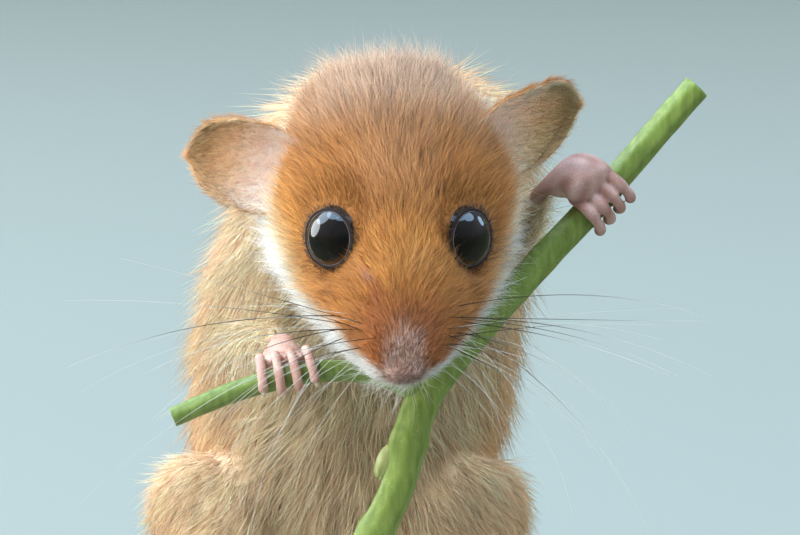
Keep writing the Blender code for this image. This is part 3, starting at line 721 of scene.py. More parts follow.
@dataclass
class Lie:
    """The way the coat lies, its region and its chart, read from the lines that carry the body.

    Attributes:
        sharpness: Power of the distance by which a line's hold falls.
    """

    sharpness: float = 9.0

    def strands(self) -> list[tuple[Region, Array, Array]]:
        """Region, world line and half widths of each line, run the way that the hair points."""
        table = HEAD.table()[::-1]
        middles = np.stack([0 * table[:, 0], table[:, 0], (table[:, 1] + table[:, 2]) / 2], 1)
        head_sizes = ((table[:, 1] - table[:, 2]) / 2 + table[:, 4]) / 2 * MM
        torso = np.array(TORSO.sections)
        spine = POSE.place(torso[:, [1, 0, 2]])
        found = [
            (Region.HEAD, POSE.on_head(middles), head_sizes),
            (Region.TRUNK, NECK.world(), NECK.sizes()),
            (Region.TRUNK, spine, torso[:, 3:].mean(axis=1) * MM),
            (Region.TAIL, TAIL.world(), TAIL.sizes()),
        ]
        return found + [(region, leg.world(), leg.sizes()) for region, leg in LEGS.items()]

    def read(self, points: Array) -> tuple[Array, Array, Array]:
        """How strongly each region holds each point, its line's direction there, and the chart's u and v.

        A line's weight is the inverse of the distance from it in its own half widths, to a high power.

        Args:
            points: World places.

        Returns:
            Weights by region, directions, and chart coordinates along the line and round it.
        """
        weights = np.zeros((len(points), len(REGIONS)))
        ways = np.zeros((len(points), 3))
        chart = np.zeros((len(points), 2))
        best = np.full(len(points), np.inf)
        for region, line, sizes in self.strands():
            start, run = line[:-1], np.diff(line, axis=0)
            share = np.einsum("nmk,mk->nm", points[:, None] - start[None], run) / (run**2).sum(axis=1)
            share = np.clip(share, 0, 1)
            foot = start[None] + share[..., None] * run[None]
            size = sizes[:-1] + share * np.diff(sizes)
            far = np.linalg.norm(points[:, None] - foot, axis=2) / np.maximum(size, 0.1 * MM)
            pick = far.argmin(axis=1)
            rows = np.arange(len(points))
            near = far[rows, pick]
            weight = 1 / np.maximum(near, 0.3) ** self.sharpness
            along = unit(run)[pick]
            weights[:, REGIONS.index(region)] += weight
            ways += weight[:, None] * along
            offset = points - foot[rows, pick]
            side = unit(np.cross(along, POSE.axes[2] + 0.01))
            up = np.cross(side, along)
            around = np.arctan2((offset * side).sum(axis=1), (offset * up).sum(axis=1)) / TURN + 0.5
            lengths = np.concatenate([[0], np.cumsum(np.linalg.norm(run, axis=1))])
            u = (lengths[pick] + share[rows, pick] * np.diff(lengths)[pick]) / lengths[-1]
            better = near < best
            chart[better] = np.stack([u, around], 1)[better]
            best = np.minimum(best, near)
        return weights / weights.sum(axis=1, keepdims=True), unit(ways), chart


LIE = Lie()


@dataclass(frozen=True)
class Markings:
    """Colours of the skin and the coat by the place on the animal, in linear red, green and blue.

    Attributes:
        ginger: Head, back and tail.
        bright: Golden hair round the eyes and over the shoulders.
        crown: Paler greyish hair over the crown, partly its own colour and partly painted light from above.
        bridge: Bridge of the nose.
        brown: Darkest hair, beside the muzzle and on the ears' rims.
        muzzle: Sides of the muzzle.
        cream: Cheeks and chest.
        white: Lips and chin.
        flank: Sides and belly.
        pink: Underside of the nose pad.
        frost: Skin of the nose under its pale hairs.
        reddish: A reddish fleck beside the nose.
        mauve: A bare fleck above that.
    """

    ginger: Triple = (0.50, 0.200, 0.048)
    bright: Triple = (0.92, 0.40, 0.095)
    crown: Triple = (0.62, 0.40, 0.265)
    bridge: Triple = (0.74, 0.31, 0.075)
    brown: Triple = (0.20, 0.085, 0.035)
    muzzle: Triple = (0.38, 0.120, 0.040)
    cream: Triple = (1.0, 0.78, 0.50)
    white: Triple = (0.97, 0.90, 0.79)
    flank: Triple = (1.0, 0.74, 0.50)
    pink: Triple = (0.56, 0.34, 0.28)
    frost: Triple = (0.52, 0.31, 0.225)
    reddish: Triple = (0.30, 0.065, 0.035)
    mauve: Triple = (0.30, 0.19, 0.22)

    def face(self, spots: Array) -> Array:
        """Colours of the head, with painted shade on its left side and painted light over the crown.

        Args:
            spots: Places left, ahead and above the middle of the eyes, in millimetres.

        Returns:
            One colour for each place.
        """
        side, ahead, above = spots.T
        flat = abs(side)
        _, foot, level, _ = HEAD.read(ahead)
        # The 0.035 * side term is painted shade: less white on the left cheek, more on the right.
        low = (level - above) / np.maximum(level - foot, 0.5) - 0.035 * side + 0.10 * step(7, 10, ahead)
        cheek = above + 0.30 * np.minimum(ahead, 6.0)
        specks = step(0.2, 0.7, ripple(spots * MM, 0.7 * MM, 5))
        edge = flat + 0.5 * ripple(spots * MM, 0.8 * MM, 6) - 0.55 * (ahead - 10.4)
        layers = (
            # painted light and shade: the 0.04 * side term weakens the gold on the left side and strengthens
            # it on the right
            (self.bright, 0.85 * hump(8.5, 5.0, flat) * step(-8, 2, ahead) * (0.75 - 0.04 * side)),
            # paler crown: partly its own greyer hair, partly painted light from above
            (self.crown, 0.85 * step(-3.5, -9.5, ahead) * step(9.5, 3.5, flat)),
            (self.crown, 0.18 * step(3.5, -2, ahead) * step(4.5, 1.0, flat)),
            (self.bridge, 0.8 * step(1.0, 4.0, ahead) * step(3.8, 1.2, flat)),
            (self.cream, 0.85 * step(-1.6, -4.6, cheek) * step(8.0, 3.0, ahead) * step(-10, -6, ahead)),
            (self.muzzle, 0.8 * step(6.2, 9.0, ahead) * step(4.0, 2.0, flat)),
            (self.brown, 0.45 * hump(7.6, 1.4, ahead) * hump(1.2, 1.3, side) * specks),
            (self.brown, 0.55 * hump(4.0, 1.6, side) * hump(3.4, 1.2, ahead) * step(0.5, -1.5, above)),
            (self.frost, 0.8 * step(8.2, 10.8, ahead) * step(1.9, 0.3, edge)),
            (self.reddish, 0.6 * hump(-1.8, 0.7, side) * hump(7.2, 1.4, ahead)),
            (self.mauve, 0.7 * hump(-2.2, 0.5, side) * hump(5.9, 0.5, ahead)),
            (self.white, 0.95 * step(-0.12, 0.30, low) * step(2.0, 5.0, ahead) * step(11.6, 10.8, ahead)),
            (self.white, 0.90 * step(-4.5, -5.4, above + 0.12 * (ahead - 8))),
            (self.pink, 0.7 * step(11.0, 11.5, ahead) * step(-2.4, -3.0, above)),
        )
        return layered(self.ginger, layers, len(spots))

    def body(self, spots: Array, weights: Array) -> Array:
        """Colours of trunk, legs and tail from their places across, up and back, with painted shade on the
        chest under the head.
        """
        across, up, back = spots.T
        painted_shade = np.array(self.flank) * (0.62, 0.66, 0.66)
        layers = (
            (self.bright, 0.45 * step(22, 31, back + 0.25 * np.maximum(up, 0))),
            (self.ginger, 0.85 * step(29, 38, back + 0.15 * up)),
            (self.cream, 0.8 * step(26, 19, back) * step(10, -2, up)),
            # painted shade: the flank's colour darkened on the chest under the head
            (painted_shade, 0.8 * hump(-2.0, 13.0, across) * step(-6, -14, up) * step(24, 18, back)),
            (np.array(self.ginger) * 0.95, weights[:, REGIONS.index(Region.TAIL)]),
        )
        return layered(self.flank, layers, len(spots))

    def tones(self, points: Array, weights: Array) -> Array:
        """One colour for each world place, with patches of slightly lighter and darker hair."""
        face = self.face(POSE.in_head(points))
        body = self.body(POSE.read(points), weights)
        colour = mixed(body, face, step(0.35, 0.75, weights[:, REGIONS.index(Region.HEAD)]))
        return colour * (1 + 0.08 * ripple(points, 1.6 * MM, 3) + 0.05 * ripple(points, 0.6 * MM, 4))[:, None]


MARKINGS = Markings()


# Finishes


def wired(tree: bpy.types.NodeTree, kind: str, output: str, inputs: dict, **settings: str) -> Socket:
    """Adds a node to a tree, with its inputs linked to sockets or set to plain values.

    Args:
        tree: The tree.
        kind: Blender's name for the node, after ShaderNode.
        output: Name of the output that comes back.
        inputs: A socket or a plain value for each input.
        **settings: Settings of the node itself.

    Returns:
        The output.
    """
    node = tree.nodes.new(f"ShaderNode{kind}")
    for key, value in settings.items():
        setattr(node, key, value)
    for key, value in inputs.items():
        if isinstance(value, Socket):
            tree.links.new(value, node.inputs[key])
        else:
            node.inputs[key].default_value = value
    return node.outputs[output]


def ramped(tree: bpy.types.NodeTree, value: Socket, stops: list[tuple[float, tuple]]) -> Socket:
    """Colours picked by a value: each stop is a place from 0 to 1 and a linear colour."""
    node = tree.nodes.new("ShaderNodeValToRGB")
    ramp = node.color_ramp
    while len(ramp.elements) < len(stops):
        ramp.elements.new(0.5)
    for element, (place, colour) in zip(ramp.elements, stops):
        element.position = place
        element.color = (*colour, 1)
    tree.links.new(value, node.inputs["Fac"])
    return node.outputs["Color"]


@dataclass
class Shader:
    """A Principled material under way, whose patterns are read on Object coordinates.

    Attributes:
        name: Name of the material.
        settings: Values for the shader's own sockets.
    """

    name: str
    settings: dict[str, float | tuple]

    def __post_init__(self) -> None:
        """Makes the material and sets its plain values."""
        self.material = bpy.data.materials.new(self.name)
        self.material.use_nodes = True
        self.tree = self.material.node_tree
        self.shader = self.tree.nodes["Principled BSDF"]
        for socket, value in self.settings.items():
            self.shader.inputs[socket].default_value = value
        self.places = wired(self.tree, "TexCoord", "Object", {})

    def link(self, source: Socket, socket: str) -> None:
        """Feeds one of the shader's sockets."""
        self.tree.links.new(source, self.shader.inputs[socket])

    def colours(self, attribute: str) -> Socket:
        """The colours that a mesh carries in a named attribute."""
        return wired(self.tree, "VertexColor", "Color", {}, layer_name=attribute)

    def noise(self, size: float, detail: float = 3.0, stretch: tuple = (1, 1, 1)) -> Socket:
        """Cloudy noise whose bumps are about size across, in metres, drawn out by stretch."""
        scale = tuple(1 / value for value in stretch)
        place = wired(self.tree, "Mapping", "Vector", {"Scale": scale, "Vector": self.places})
        return wired(self.tree, "TexNoise", "Fac", {"Scale": 1 / size, "Detail": detail, "Vector": place})

    def cells(self, size: float) -> Socket:
        """Distance to the nearest of many scattered points about size apart."""
        return wired(self.tree, "TexVoronoi", "Distance", {"Scale": 1 / size, "Vector": self.places})

    def ramp(self, value: Socket, stops: list[tuple[float, tuple]]) -> Socket:
        """Colours picked by a value from stops."""
        return ramped(self.tree, value, stops)

    def levels(self, value: Socket, low: float, high: float) -> Socket:
        """A value from 0 to 1 turned into one from low to high."""
        return wired(self.tree, "MapRange", "Result", {"To Min": low, "To Max": high, "Value": value})

    def toned(self, colour: Socket, other: Socket, share: float, blend: str = "MULTIPLY") -> Socket:
        """One colour laid over another."""
        inputs = {"Factor": share, "A": colour, "B": other}
        return wired(self.tree, "Mix", "Result", inputs, data_type="RGBA", blend_type=blend)

    def bump(self, *heights: tuple[Socket, float, float]) -> None:
        """Bumps on the surface, each with its strength and its height in metres."""
        below = {}
        for height, strength, distance in heights:
            inputs = {"Strength": strength, "Distance": distance, "Height": height, **below}
            below = {"Normal": wired(self.tree, "Bump", "Normal", inputs)}
        self.link(below["Normal"], "Normal")


@dataclass(frozen=True)
class HairFinish:
    """Short fine hair that carries its colours from root to tip.

    Attributes:
        name: Name of the material.
        roughness: How dull the hair is.
        sheen: Soft light along its edges.
    """

    name: str = "coat_hair"
    roughness: float = 0.55
    sheen: float = 0.06

    def make(self) -> Material:
        """The material of every tuft."""
        settings = {
            "Roughness": self.roughness,
            "Specular IOR Level": 0.22,
            "Sheen Weight": self.sheen,
            "Sheen Roughness": 0.4,
        }
        shader = Shader(self.name, settings)
        shader.link(shader.colours("tone"), "Base Color")
        return shader.material


@dataclass(frozen=True)
class SkinFinish:
    """The skin under the coat: the coat's own colours, streaked as by fine down, with a soft glow.

    Attributes:
        name: Name of the material.
        streak: Width of the down's streaks.
    """

    name: str = "coat_skin"
    streak: float = 0.12 * MM

    def make(self) -> Material:
        """The material of the skin."""
        settings = {
            "Roughness": 0.6,
            "Specular IOR Level": 0.3,
            "Subsurface Weight": 0.15,
            "Subsurface Radius": (1.0, 0.4, 0.2),
            "Subsurface Scale": 0.0008,
        }
        shader = Shader(self.name, settings)
        down = shader.noise(self.streak, 4.0)
        grain = shader.ramp(down, [(0.3, (0.62, 0.56, 0.52)), (0.7, (1, 1, 1))])
        shader.link(shader.toned(shader.colours("tone"), grain, 0.8), "Base Color")
        shader.bump((down, 0.5, 0.04 * MM), (shader.noise(0.35 * MM), 0.3, 0.06 * MM))
        return shader.material


# Skin


@dataclass
class Nose:
    """Nose pad, nostrils, the cleft between them and the line of the mouth, raised and sunk in the skin.

    Attributes:
        pad: Middle and radii of the pad on the head.
        chin: Middle and radii of the chin.
        nostril: Middle of the left nostril: left, ahead and above.
        nostril_depth: Depth of each nostril.
        mouth_level: Level of the line of the mouth in the middle.
    """

    pad: tuple = ((0.0, 11.15, -3.2), (1.4, 0.9, 1.05))
    chin: tuple = ((0.0, 5.3, -6.1), (2.3, 2.8, 1.15))
    nostril: Triple = (0.98, 11.55, -3.45)
    nostril_depth: float = 0.55 * MM
    mouth_level: float = -5.15

    def forms(self) -> list[tuple[Array, Array]]:
        """Closed forms that the skin takes in: the pad and the chin."""
        forms = (self.pad, self.chin)
        balls = [ball(POSE.on_head(at), np.array(radii) * MM, POSE.head_axes) for at, radii in forms]
        return [form.arrays() for form in balls]

    def sculpt(self, points: Array, normals: Array) -> tuple[Array, Array]:
        """Moves skin points in and out round the nose.

        Each nostril is a comma-shaped pit: a bell across, drawn out to the side and backwards. The cleft and
        the mouth are grooves whose depth falls off as a bell.

        Args:
            points: World places of the skin's vertices.
            normals: Outward directions there.

        Returns:
            The moved places and, for each, how much painted shade it gets, from 0 to 1.
        """
        side, ahead, above = POSE.in_head(points).T
        flat = np.abs(side)
        dx, dz = flat - self.nostril[0], above - self.nostril[2]
        bent = dz - 0.35 * dx - 0.25 * dx**2
        pit = np.exp(-((dx / 0.42) ** 2) - (bent / 0.19) ** 2) * step(9.9, 10.7, ahead)
        wing = np.exp(-((dx + 0.02) ** 2) / 0.30 - (dz - 0.36) ** 2 / 0.10) * step(9.8, 10.8, ahead)
        cleft = np.exp(-((side / 0.13) ** 2)) * step(9.5, 10.4, ahead)
        cleft = cleft * step(-5.3, -4.6, above) * step(-2.6, -3.4, above)
        mouth_line = self.mouth_level - 0.16 * flat - 0.06 * flat**2
        lips = np.exp(-(((above - mouth_line) / 0.17) ** 2)) * step(4.0, 2.8, flat)
        lips = lips * step(4.6, 7.0, ahead) * step(10.9, 9.8, ahead)
        move = -self.nostril_depth * pit + 0.16 * MM * wing - 0.16 * MM * cleft - 0.30 * MM * lips
        # painted shade: strongest in the nostrils, weaker in the cleft and along the mouth
        return points + normals * move[:, None], np.clip(pit * 1.3 + 0.5 * cleft + 0.75 * lips, 0, 1)


NOSE = Nose()


@dataclass
class Skin:
    """One closed skin over head, neck, trunk, legs and tail, sunk under the coat.

    Attributes:
        voxel: Size of the grid's cells.
        fine_from: How far ahead on the head its finer faces start.
        nodes: Solids that the skin stands for.
    """

    voxel: float = 0.52 * MM
    fine_from: float = 8.2
    nodes: tuple[str, ...] = (
        "head", "neck", "torso", "tail_root", "tail_middle", "tail_tip",
        "foreleg_left", "foreleg_right", "hindleg_left", "hindleg_right",
    )

    def forms(self) -> list[tuple[Array, Array]]:
        """The closed forms of the body, which overlap."""
        forms = [HEAD.rings(), TORSO.rings(), neck_tube()]
        forms.append(Line(TAIL.world()).tube(TAIL.sizes(), 90, 36, caps=(0, 4 * MM)))
        for leg in LEGS.values():
            world, sizes = leg.world(), leg.sizes()
            forms.append(Line(world[:2]).tube(sizes[:2], 24, 32, caps=(0.8 * sizes[0], 0.95 * sizes[1])))
            forms.append(Line(world[1:]).tube(sizes[1:], 36, 32, caps=(0.6 * sizes[1], 0.8 * MM)))
        return [form.arrays() for form in forms] + NOSE.forms()

    def refine_nose(self, mesh: Mesh) -> None:
        """Cuts the faces of the muzzle into finer ones."""
        for start in (self.fine_from, self.fine_from + 1.2):
            work = bmesh.new()
            work.from_mesh(mesh)
            work.verts.ensure_lookup_table()
            ahead = POSE.in_head(np.array([v.co[:] for v in work.verts]))[:, 1]
            near = ahead > start
            edges = [e for e in work.edges if near[e.verts[0].index] and near[e.verts[1].index]]
            bmesh.ops.subdivide_edges(work, edges=edges, cuts=1, use_grid_fill=True)
            bmesh.ops.triangulate(work, faces=[f for f in work.faces if len(f.verts) > 4])
            work.to_mesh(mesh)
            work.free()

    def build(self) -> Piece:
        """The skin as one mesh, with its markings and painted shade in the nostrils, the cleft and the mouth.
        """
        skin = remeshed("skin", self.forms(), self.voxel)
        mesh = skin.data
        points = points_of(mesh)
        head = POSE.in_head(points)
        soft = 0.5 * (1 - 0.9 * step(7.5, 9.5, head[:, 1]) * step(4.5, 3.5, np.abs(head[:, 0])))
        set_points(mesh, relaxed(points, edges_of(mesh), 14, soft))
        self.refine_nose(mesh)
        points = points_of(mesh)
        near = step(8.0, 8.6, POSE.in_head(points)[:, 1]) * (POSE.read(points)[:, 2] < 0)
        set_points(mesh, relaxed(points, edges_of(mesh), 5, 0.5 * near))
        points, hollow_shade = NOSE.sculpt(points_of(mesh), normals_of(mesh))
        set_points(mesh, points)
        weights, _, _ = LIE.read(points)
        tones = MARKINGS.tones(points, weights)
        # painted shade: dark brown laid into the nostrils, the cleft and the line of the mouth
        tones = mixed(tones, np.array(MARKINGS.brown) * 0.45, 0.92 * hollow_shade)
        set_colours(mesh, "tone", tones)
        mesh.shade_smooth()
        return skin


def neck_tube() -> Rings:
    """The neck under the coat, from inside the head to inside the chest."""
    return Line(NECK.world()).tube(NECK.sizes(), 30, 48, caps=(4 * MM, 4 * MM))


# Coat


@dataclass
class Patch:
    """Places scattered over a mesh, with what is needed to root hair there.

    Attributes:
        points: World places.
        normals: Outward directions.
        weights: How strongly each region holds each place.
        flow: Directions in the skin that the hair points.
        chart: Places on the skin's unwrap.
    """

    points: Array
    normals: Array
    weights: Array
    flow: Array
    chart: Array

    def __len__(self) -> int:
        """Number of places."""
        return len(self.points)


def triangles_of(mesh: Mesh) -> Array:
    """A mesh's triangles as indices of vertices."""
    mesh.calc_loop_triangles()
    return rows_of(mesh.loop_triangles, "vertices", 3, np.int32)


def scattered(
    points: Array, normals: Array, faces: Array, density: Array, count: int, draw: np.random.Generator
) -> tuple[Array, Array]:
    """Places scattered over triangles by their area and the density at their vertices.

    Args:
        points: World places of the vertices.
        normals: Directions at the vertices.
        faces: The triangles.
        density: Relative density at each vertex.
        count: Number of places.
        draw: Seeded random draws.

    Returns:
        Places and directions.
    """
    corners = points[faces]
    areas = np.linalg.norm(np.cross(corners[:, 1] - corners[:, 0], corners[:, 2] - corners[:, 0]), axis=1)
    areas = areas * density[faces].mean(axis=1)
    picked = np.searchsorted(np.cumsum(areas), draw.random(count) * areas.sum())
    picked = np.minimum(picked, len(faces) - 1)
    first, second = draw.random((2, count))
    over = first + second > 1
    first, second = np.where(over, 1 - first, first), np.where(over, 1 - second, second)
    parts = np.stack([1 - first - second, first, second], 1)[..., None]
    return (corners[picked] * parts).sum(axis=1), unit((normals[faces[picked]] * parts).sum(axis=1))


@dataclass
class Tufts:
    """Joined three-sided tapering hairs that bend towards the skin.

    Attributes:
        roots: World places of the roots.
        normals: Outward directions there.
        flow: Directions in the skin that they point.
        length: Length of each hair.
        width: Half width of each at its root.
        lift: Angle of each off the skin at its root.
        bend: How much of that angle is lost towards the tip.
        tones: Colour of each hair.
        chart: Place of each root on the unwrap.
        tips: Drift of each tip.
        joints: Rings of points along a hair before its tip.
        shading: Factors on the tone at root and tip, darker at the root and paler at the tip, partly the
            hair's own colour and partly painted shade at the root and painted light at the tip.
        patch_size: Half width of a hair's patch on the bake's map.
    """

    roots: Array
    normals: Array
    flow: Array
    length: Array
    width: Array
    lift: Array
    bend: Array
    tones: Array
    chart: Array
    tips: Array
    joints: int = 2
    shading: Pair = (0.42, 1.28)
    patch_size: float = 0.0015

    def picked(self, rows: Array) -> "Tufts":
        """Some of the hairs."""
        single = ("joints", "shading", "patch_size")
        return replace(self, **{key: value[rows] for key, value in vars(self).items() if key not in single})

    def build(self, name: str) -> Piece:
        """All the hairs as one mesh.

        A hair's middle line runs at its lift off the skin, less by its bend towards the tip, and its half
        width falls as a straight line does. Each ring has three corners.
        """
        count, joints = len(self.roots), self.joints
        side = unit(np.cross(self.flow, self.normals))
        place = self.roots - self.normals * (0.12 * self.length)[:, None] * np.sin(self.lift)[:, None]
        shares = np.linspace(0, 1, joints + 1)
        rings, shade = [], []
        turn = np.arange(3) * TURN / 3 + 0.5 * math.pi
        for k in range(joints + 1):
            middle_share = (shares[k] + shares[k - 1]) / 2 if k else 0
            angle = self.lift * (1 - self.bend * middle_share)
            way = np.cos(angle)[:, None] * self.flow + np.sin(angle)[:, None] * self.normals
            if k:
                place = place + way * (self.length * (shares[k] - shares[k - 1]))[:, None]
                place = place + self.tips * (shares[k] - shares[k - 1]) * 2 * shares[k]
            # Painted light and shade along each hair: the tone rises from the root's factor to the tip's,
            # partly the hair's own colour and partly painted shade at the root and painted light at the tip.
            tone = self.shading[0] + (self.shading[1] - self.shading[0]) * shares[k] ** 0.7
            if k == joints:
                rings.append(place[:, None])
                shade.append(np.full(1, tone))
                break
            up = np.cross(side, way)
            half = self.width * (1 - 0.75 * shares[k])
            corner = np.cos(turn)[None, :, None] * side[:, None] + np.sin(turn)[None, :, None] * up[:, None]
            rings.append(place[:, None] + half[:, None, None] * corner)
            shade.append(np.full(3, tone))
        points = np.concatenate(rings, 1)
        size = points.shape[1]
        sides = [(3 * k + i, 3 * k + (i + 1) % 3) for k in range(joints) for i in range(3)]
        near = [(a, b, b + 3) for a, b in sides[:-3]] + [(a, b + 3, a + 3) for a, b in sides[:-3]]
        near += [(a, b, 3 * joints) for a, b in sides[-3:]]
        faces = (np.arange(count)[:, None, None] * size + np.array(near)[None]).reshape(-1, 3)
        corners = points[0][np.array(near)]
        around = corners.mean(axis=1) - points[0][:3].mean(axis=0)
        across = np.cross(corners[:, 1] - corners[:, 0], corners[:, 2] - corners[:, 0])
        axis = unit(points[0][-1] - points[0][:3].mean(axis=0))
        around = around - (around @ axis)[:, None] * axis
        if (around * across).sum() < 0:
            faces = faces[:, ::-1]
        made = new_object(name, points.reshape(-1, 3), faces)
        tone = self.tones[:, None] * np.concatenate(shade)[None, :, None]
        set_colours(made.data, "tone", tone.reshape(-1, 3))
        self.unwrap(made.data, size, faces)
        return made

    def unwrap(self, mesh: Mesh, size: int, faces: Array) -> None:
        """Gives each hair a small patch of the bake's map at its root's place on the skin's unwrap."""
        own = np.zeros((size, 2))
        own[:, 1] = np.repeat(np.linspace(-1, 1, self.joints + 1), 3)[:size]
        own[:, 0] = np.tile([-1, 0.2, 1], self.joints + 1)[:size]
        own[-1] = (0, 1)
        spots = 0.01 + 0.98 * np.clip(self.chart, 0, 1)
        patches = (spots[:, None] + own[None] * self.patch_size).reshape(-1, 2)
        layer = mesh.uv_layers.new(name="OFBake")
        layer.uv.foreach_set("vector", np.ascontiguousarray(patches[faces.ravel()], np.float32).ravel())


def gathered(points: Array, size: float) -> Array:
    """Vectors from each place to the middle of the lock that it belongs to.

    Locks are the cells of a grid that smooth noise has bent, each with the mean of its places as its middle.
    """
    bent = points + np.stack([ripple(points, 1.7 * size, seed) for seed in (11, 12, 13)], 1) * size * 0.6
    cells = np.floor(bent / size).astype(int)
    _, member = np.unique(cells, axis=0, return_inverse=True)
    member = member.ravel()
    amount = np.bincount(member)
    middles = np.stack([np.bincount(member, points[:, k]) / amount for k in range(3)], 1)
    return middles[member] - points


@dataclass
class Coat:
    """The coat: fine short hair over the face, longer hair over crown, trunk, legs and tail.

    Attributes:
        face_hairs: Number of short hairs on the head.
        guard_hairs: Number of longer, bent hairs on the head.
        body_hairs: Number of hairs on trunk and legs.
        tail_hairs: Number of hairs on the tail.
        lip_hairs: Number of long pale hairs along the lips.
        piece_faces: Most triangles in one piece.
        variety: Spread of the tones from hair to hair.
        frosted: Colour of the pale hairs on the nose.
        golden: Colour of the curled hairs on the bridge.
    """

    face_hairs: int = 150000
    guard_hairs: int = 32000
    body_hairs: int = 58000
    tail_hairs: int = 12000
    lip_hairs: int = 1700
    piece_faces: int = 190000
    variety: float = 0.24
    frosted: tuple = (0.80, 0.64, 0.55)
    golden: tuple = (0.95, 0.56, 0.22)

    def patch(self, skin: Piece, count: int, seed: int, chosen: Callable[[Array, Array], Array]) -> Patch:
        """Places on the skin, as thick as a function of places and weights says."""
        mesh = skin.data
        points = points_of(mesh)
        density = chosen(points, LIE.read(points)[0])
        draw = np.random.default_rng(seed)
        places, outwards = scattered(points, normals_of(mesh), triangles_of(mesh), density, count, draw)
        weights, ways, chart = LIE.read(places)
        return Patch(places, outwards, weights, self.flow(places, outwards, ways), chart)

    def flow(self, points: Array, normals: Array, ways: Array) -> Array:
        """The hair's direction in the skin: along the body, down over the cheeks, and stirred a little."""
        spots = POSE.in_head(points)
        head_axes = POSE.head_axes
        front = step(-16, -4, spots[:, 1])[:, None]
        down = -0.55 * step(-1.5, -5.0, spots[:, 2]) * step(10, 4, spots[:, 1])
        out = 0.45 * np.tanh(spots[:, 0] / 3.0) * step(11, 6, spots[:, 1])
        way = ways + front * (down[:, None] * head_axes[2] + out[:, None] * head_axes[0])
        for side in (1, -1):
            middle, _, _, looks = EYES.frame(side)
            offset = points - middle
            height, spread = EYES.spread(points, side)
            away = unit(offset - height[:, None] * looks)
            near = np.exp(-(((spread - EYES.lid_radius) / (1.9 * MM)) ** 2)) * (height > -1 * MM)
            way = way + 1.7 * near[:, None] * away
        stir = np.stack([ripple(points, 2.3 * MM, seed) for seed in (21, 22, 23)], 1)
        return unit(flattened(unit(way) + 0.34 * stir, normals))

    def head_length(self, spots: Array) -> Array:
        """Length of the short hair on the head, in metres."""
        _, ahead, above = spots.T
        length = np.interp(ahead, [-18, -8, -1, 4, 8, 10, 11.8], [3.2, 2.7, 2.1, 1.6, 1.1, 0.72, 0.36])
        length = length * (1 + 0.5 * step(-3.0, -5.5, above) * step(11, 7, ahead))
        return length * MM

    def near_eyes(self, points: Array) -> Array:
        """1 away from the eyes, falling towards 0 at the lids."""
        open_share = np.ones(len(points))
        for side in (1, -1):
            height, spread = EYES.spread(points, side)
            inner = step(0.0, -0.9, (unit(points - EYES.frame(side)[0]) @ POSE.head_axes[0]) * side)
            ring = step(EYES.lid_radius + 0.15 * MM, EYES.lid_radius + (1.9 + 2.0 * inner) * MM, spread)
            open_share = np.minimum(open_share, np.where(height > -0.5 * MM, ring, 1))
        return open_share

    def room_at_eyes(self, points: Array, flow: Array) -> Array:
        """Longest hair at each place whose tip still ends before the lids."""
        room = np.full(len(points), np.inf)
        for side in (1, -1):
            middle, _, _, looks = EYES.frame(side)
            height, spread = EYES.spread(points, side)
            away = unit(points - middle - height[:, None] * looks)
            towards = -(flow * away).sum(axis=1)
            limit = 0.7 * (spread - EYES.lid_radius - 0.10 * MM) / np.maximum(towards, 0.05)
            room = np.where((towards > 0.05) & (height > -0.5 * MM), np.minimum(room, limit), room)
        return np.maximum(room, 0.12 * MM)

    def near_ears(self, points: Array) -> Array:
        """1 away from the ears, falling towards 0 in front of their cups."""
        ears, free = Ears(), np.ones(len(points))
        for ear in ears.places.values():
            cup = ears.middle(ear, np.array(0.34), np.array(0.0))
            free = np.minimum(free, step(2.6 * MM, 5.6 * MM, np.linalg.norm(points - cup, axis=1)))
        return free

    def head_lengths(self, patch: Patch, factor: float, at_eyes: float, at_ears: float) -> Array:
        """Lengths of hairs on the head: shorter by eyes and ears, and never long enough to reach the lids.

        Args:
            patch: Where the hairs grow.
            factor: Length against that of the short hair.
            at_eyes: Share of the length that is left beside the eyes.
            at_ears: Share of the length that is left beside the ears.

        Returns:
            One length for each place.
        """
        length = factor * self.head_length(POSE.in_head(patch.points))
        length = length * (at_eyes + (1 - at_eyes) * self.near_eyes(patch.points))
        length = length * (at_ears + (1 - at_ears) * self.near_ears(patch.points))
        return np.minimum(length, self.room_at_eyes(patch.points, patch.flow))

    def hairs(
        self, patch: Patch, length: Array, width: Array, lift: float,
        seed: int, joints: int, lock: float, pull: float,
    ) -> Tufts:
        """Hairs on a patch, gathered into locks, each varied in length, tone and direction.

        Args:
            patch: Where the hairs grow.
            length: Their lengths.
            width: Their half widths at the root.
            lift: Their angle off the skin, in degrees.
            seed: Picks the differences.
            joints: Rings of points along a hair before its tip.
            lock: Width of a lock.
            pull: How far the tips are drawn to the middle of their lock.

        Returns:
            The hairs.
        """
        draw = np.random.default_rng(seed)
        count = len(patch)
        length = length * draw.uniform(0.78, 1.22, count)
        tones = MARKINGS.tones(patch.points, patch.weights)
        shades = np.clip(draw.normal(1, self.variety, (count, 1)), 0.4, 1.8)
        tones = tones * shades * draw.normal(1, 0.03, (count, 3))
        tips = flattened(gathered(patch.points, lock) * pull, patch.normals)
        tips = tips + draw.normal(0, 0.13, (count, 3)) * length[:, None]
        angle = np.radians(lift) * draw.uniform(0.7, 1.3, count)
        return Tufts(
            patch.points, patch.normals, patch.flow, length, np.broadcast_to(width, (count,)),
            angle, np.full(count, 0.75), tones, patch.chart, tips, joints,
        )

    def pieces(self, name: str, tufts: Tufts, order: Array) -> list[Piece]:
        """Tufts cut into pieces of few enough triangles, in the order of a value."""
        faces = 3 + 6 * (tufts.joints - 1)
        parts = math.ceil(len(tufts.roots) * faces / self.piece_faces)
        rows = np.array_split(np.argsort(order, kind="stable"), parts)
        return [tufts.picked(own).build(f"{name}_{count + 1}") for count, own in enumerate(rows)]

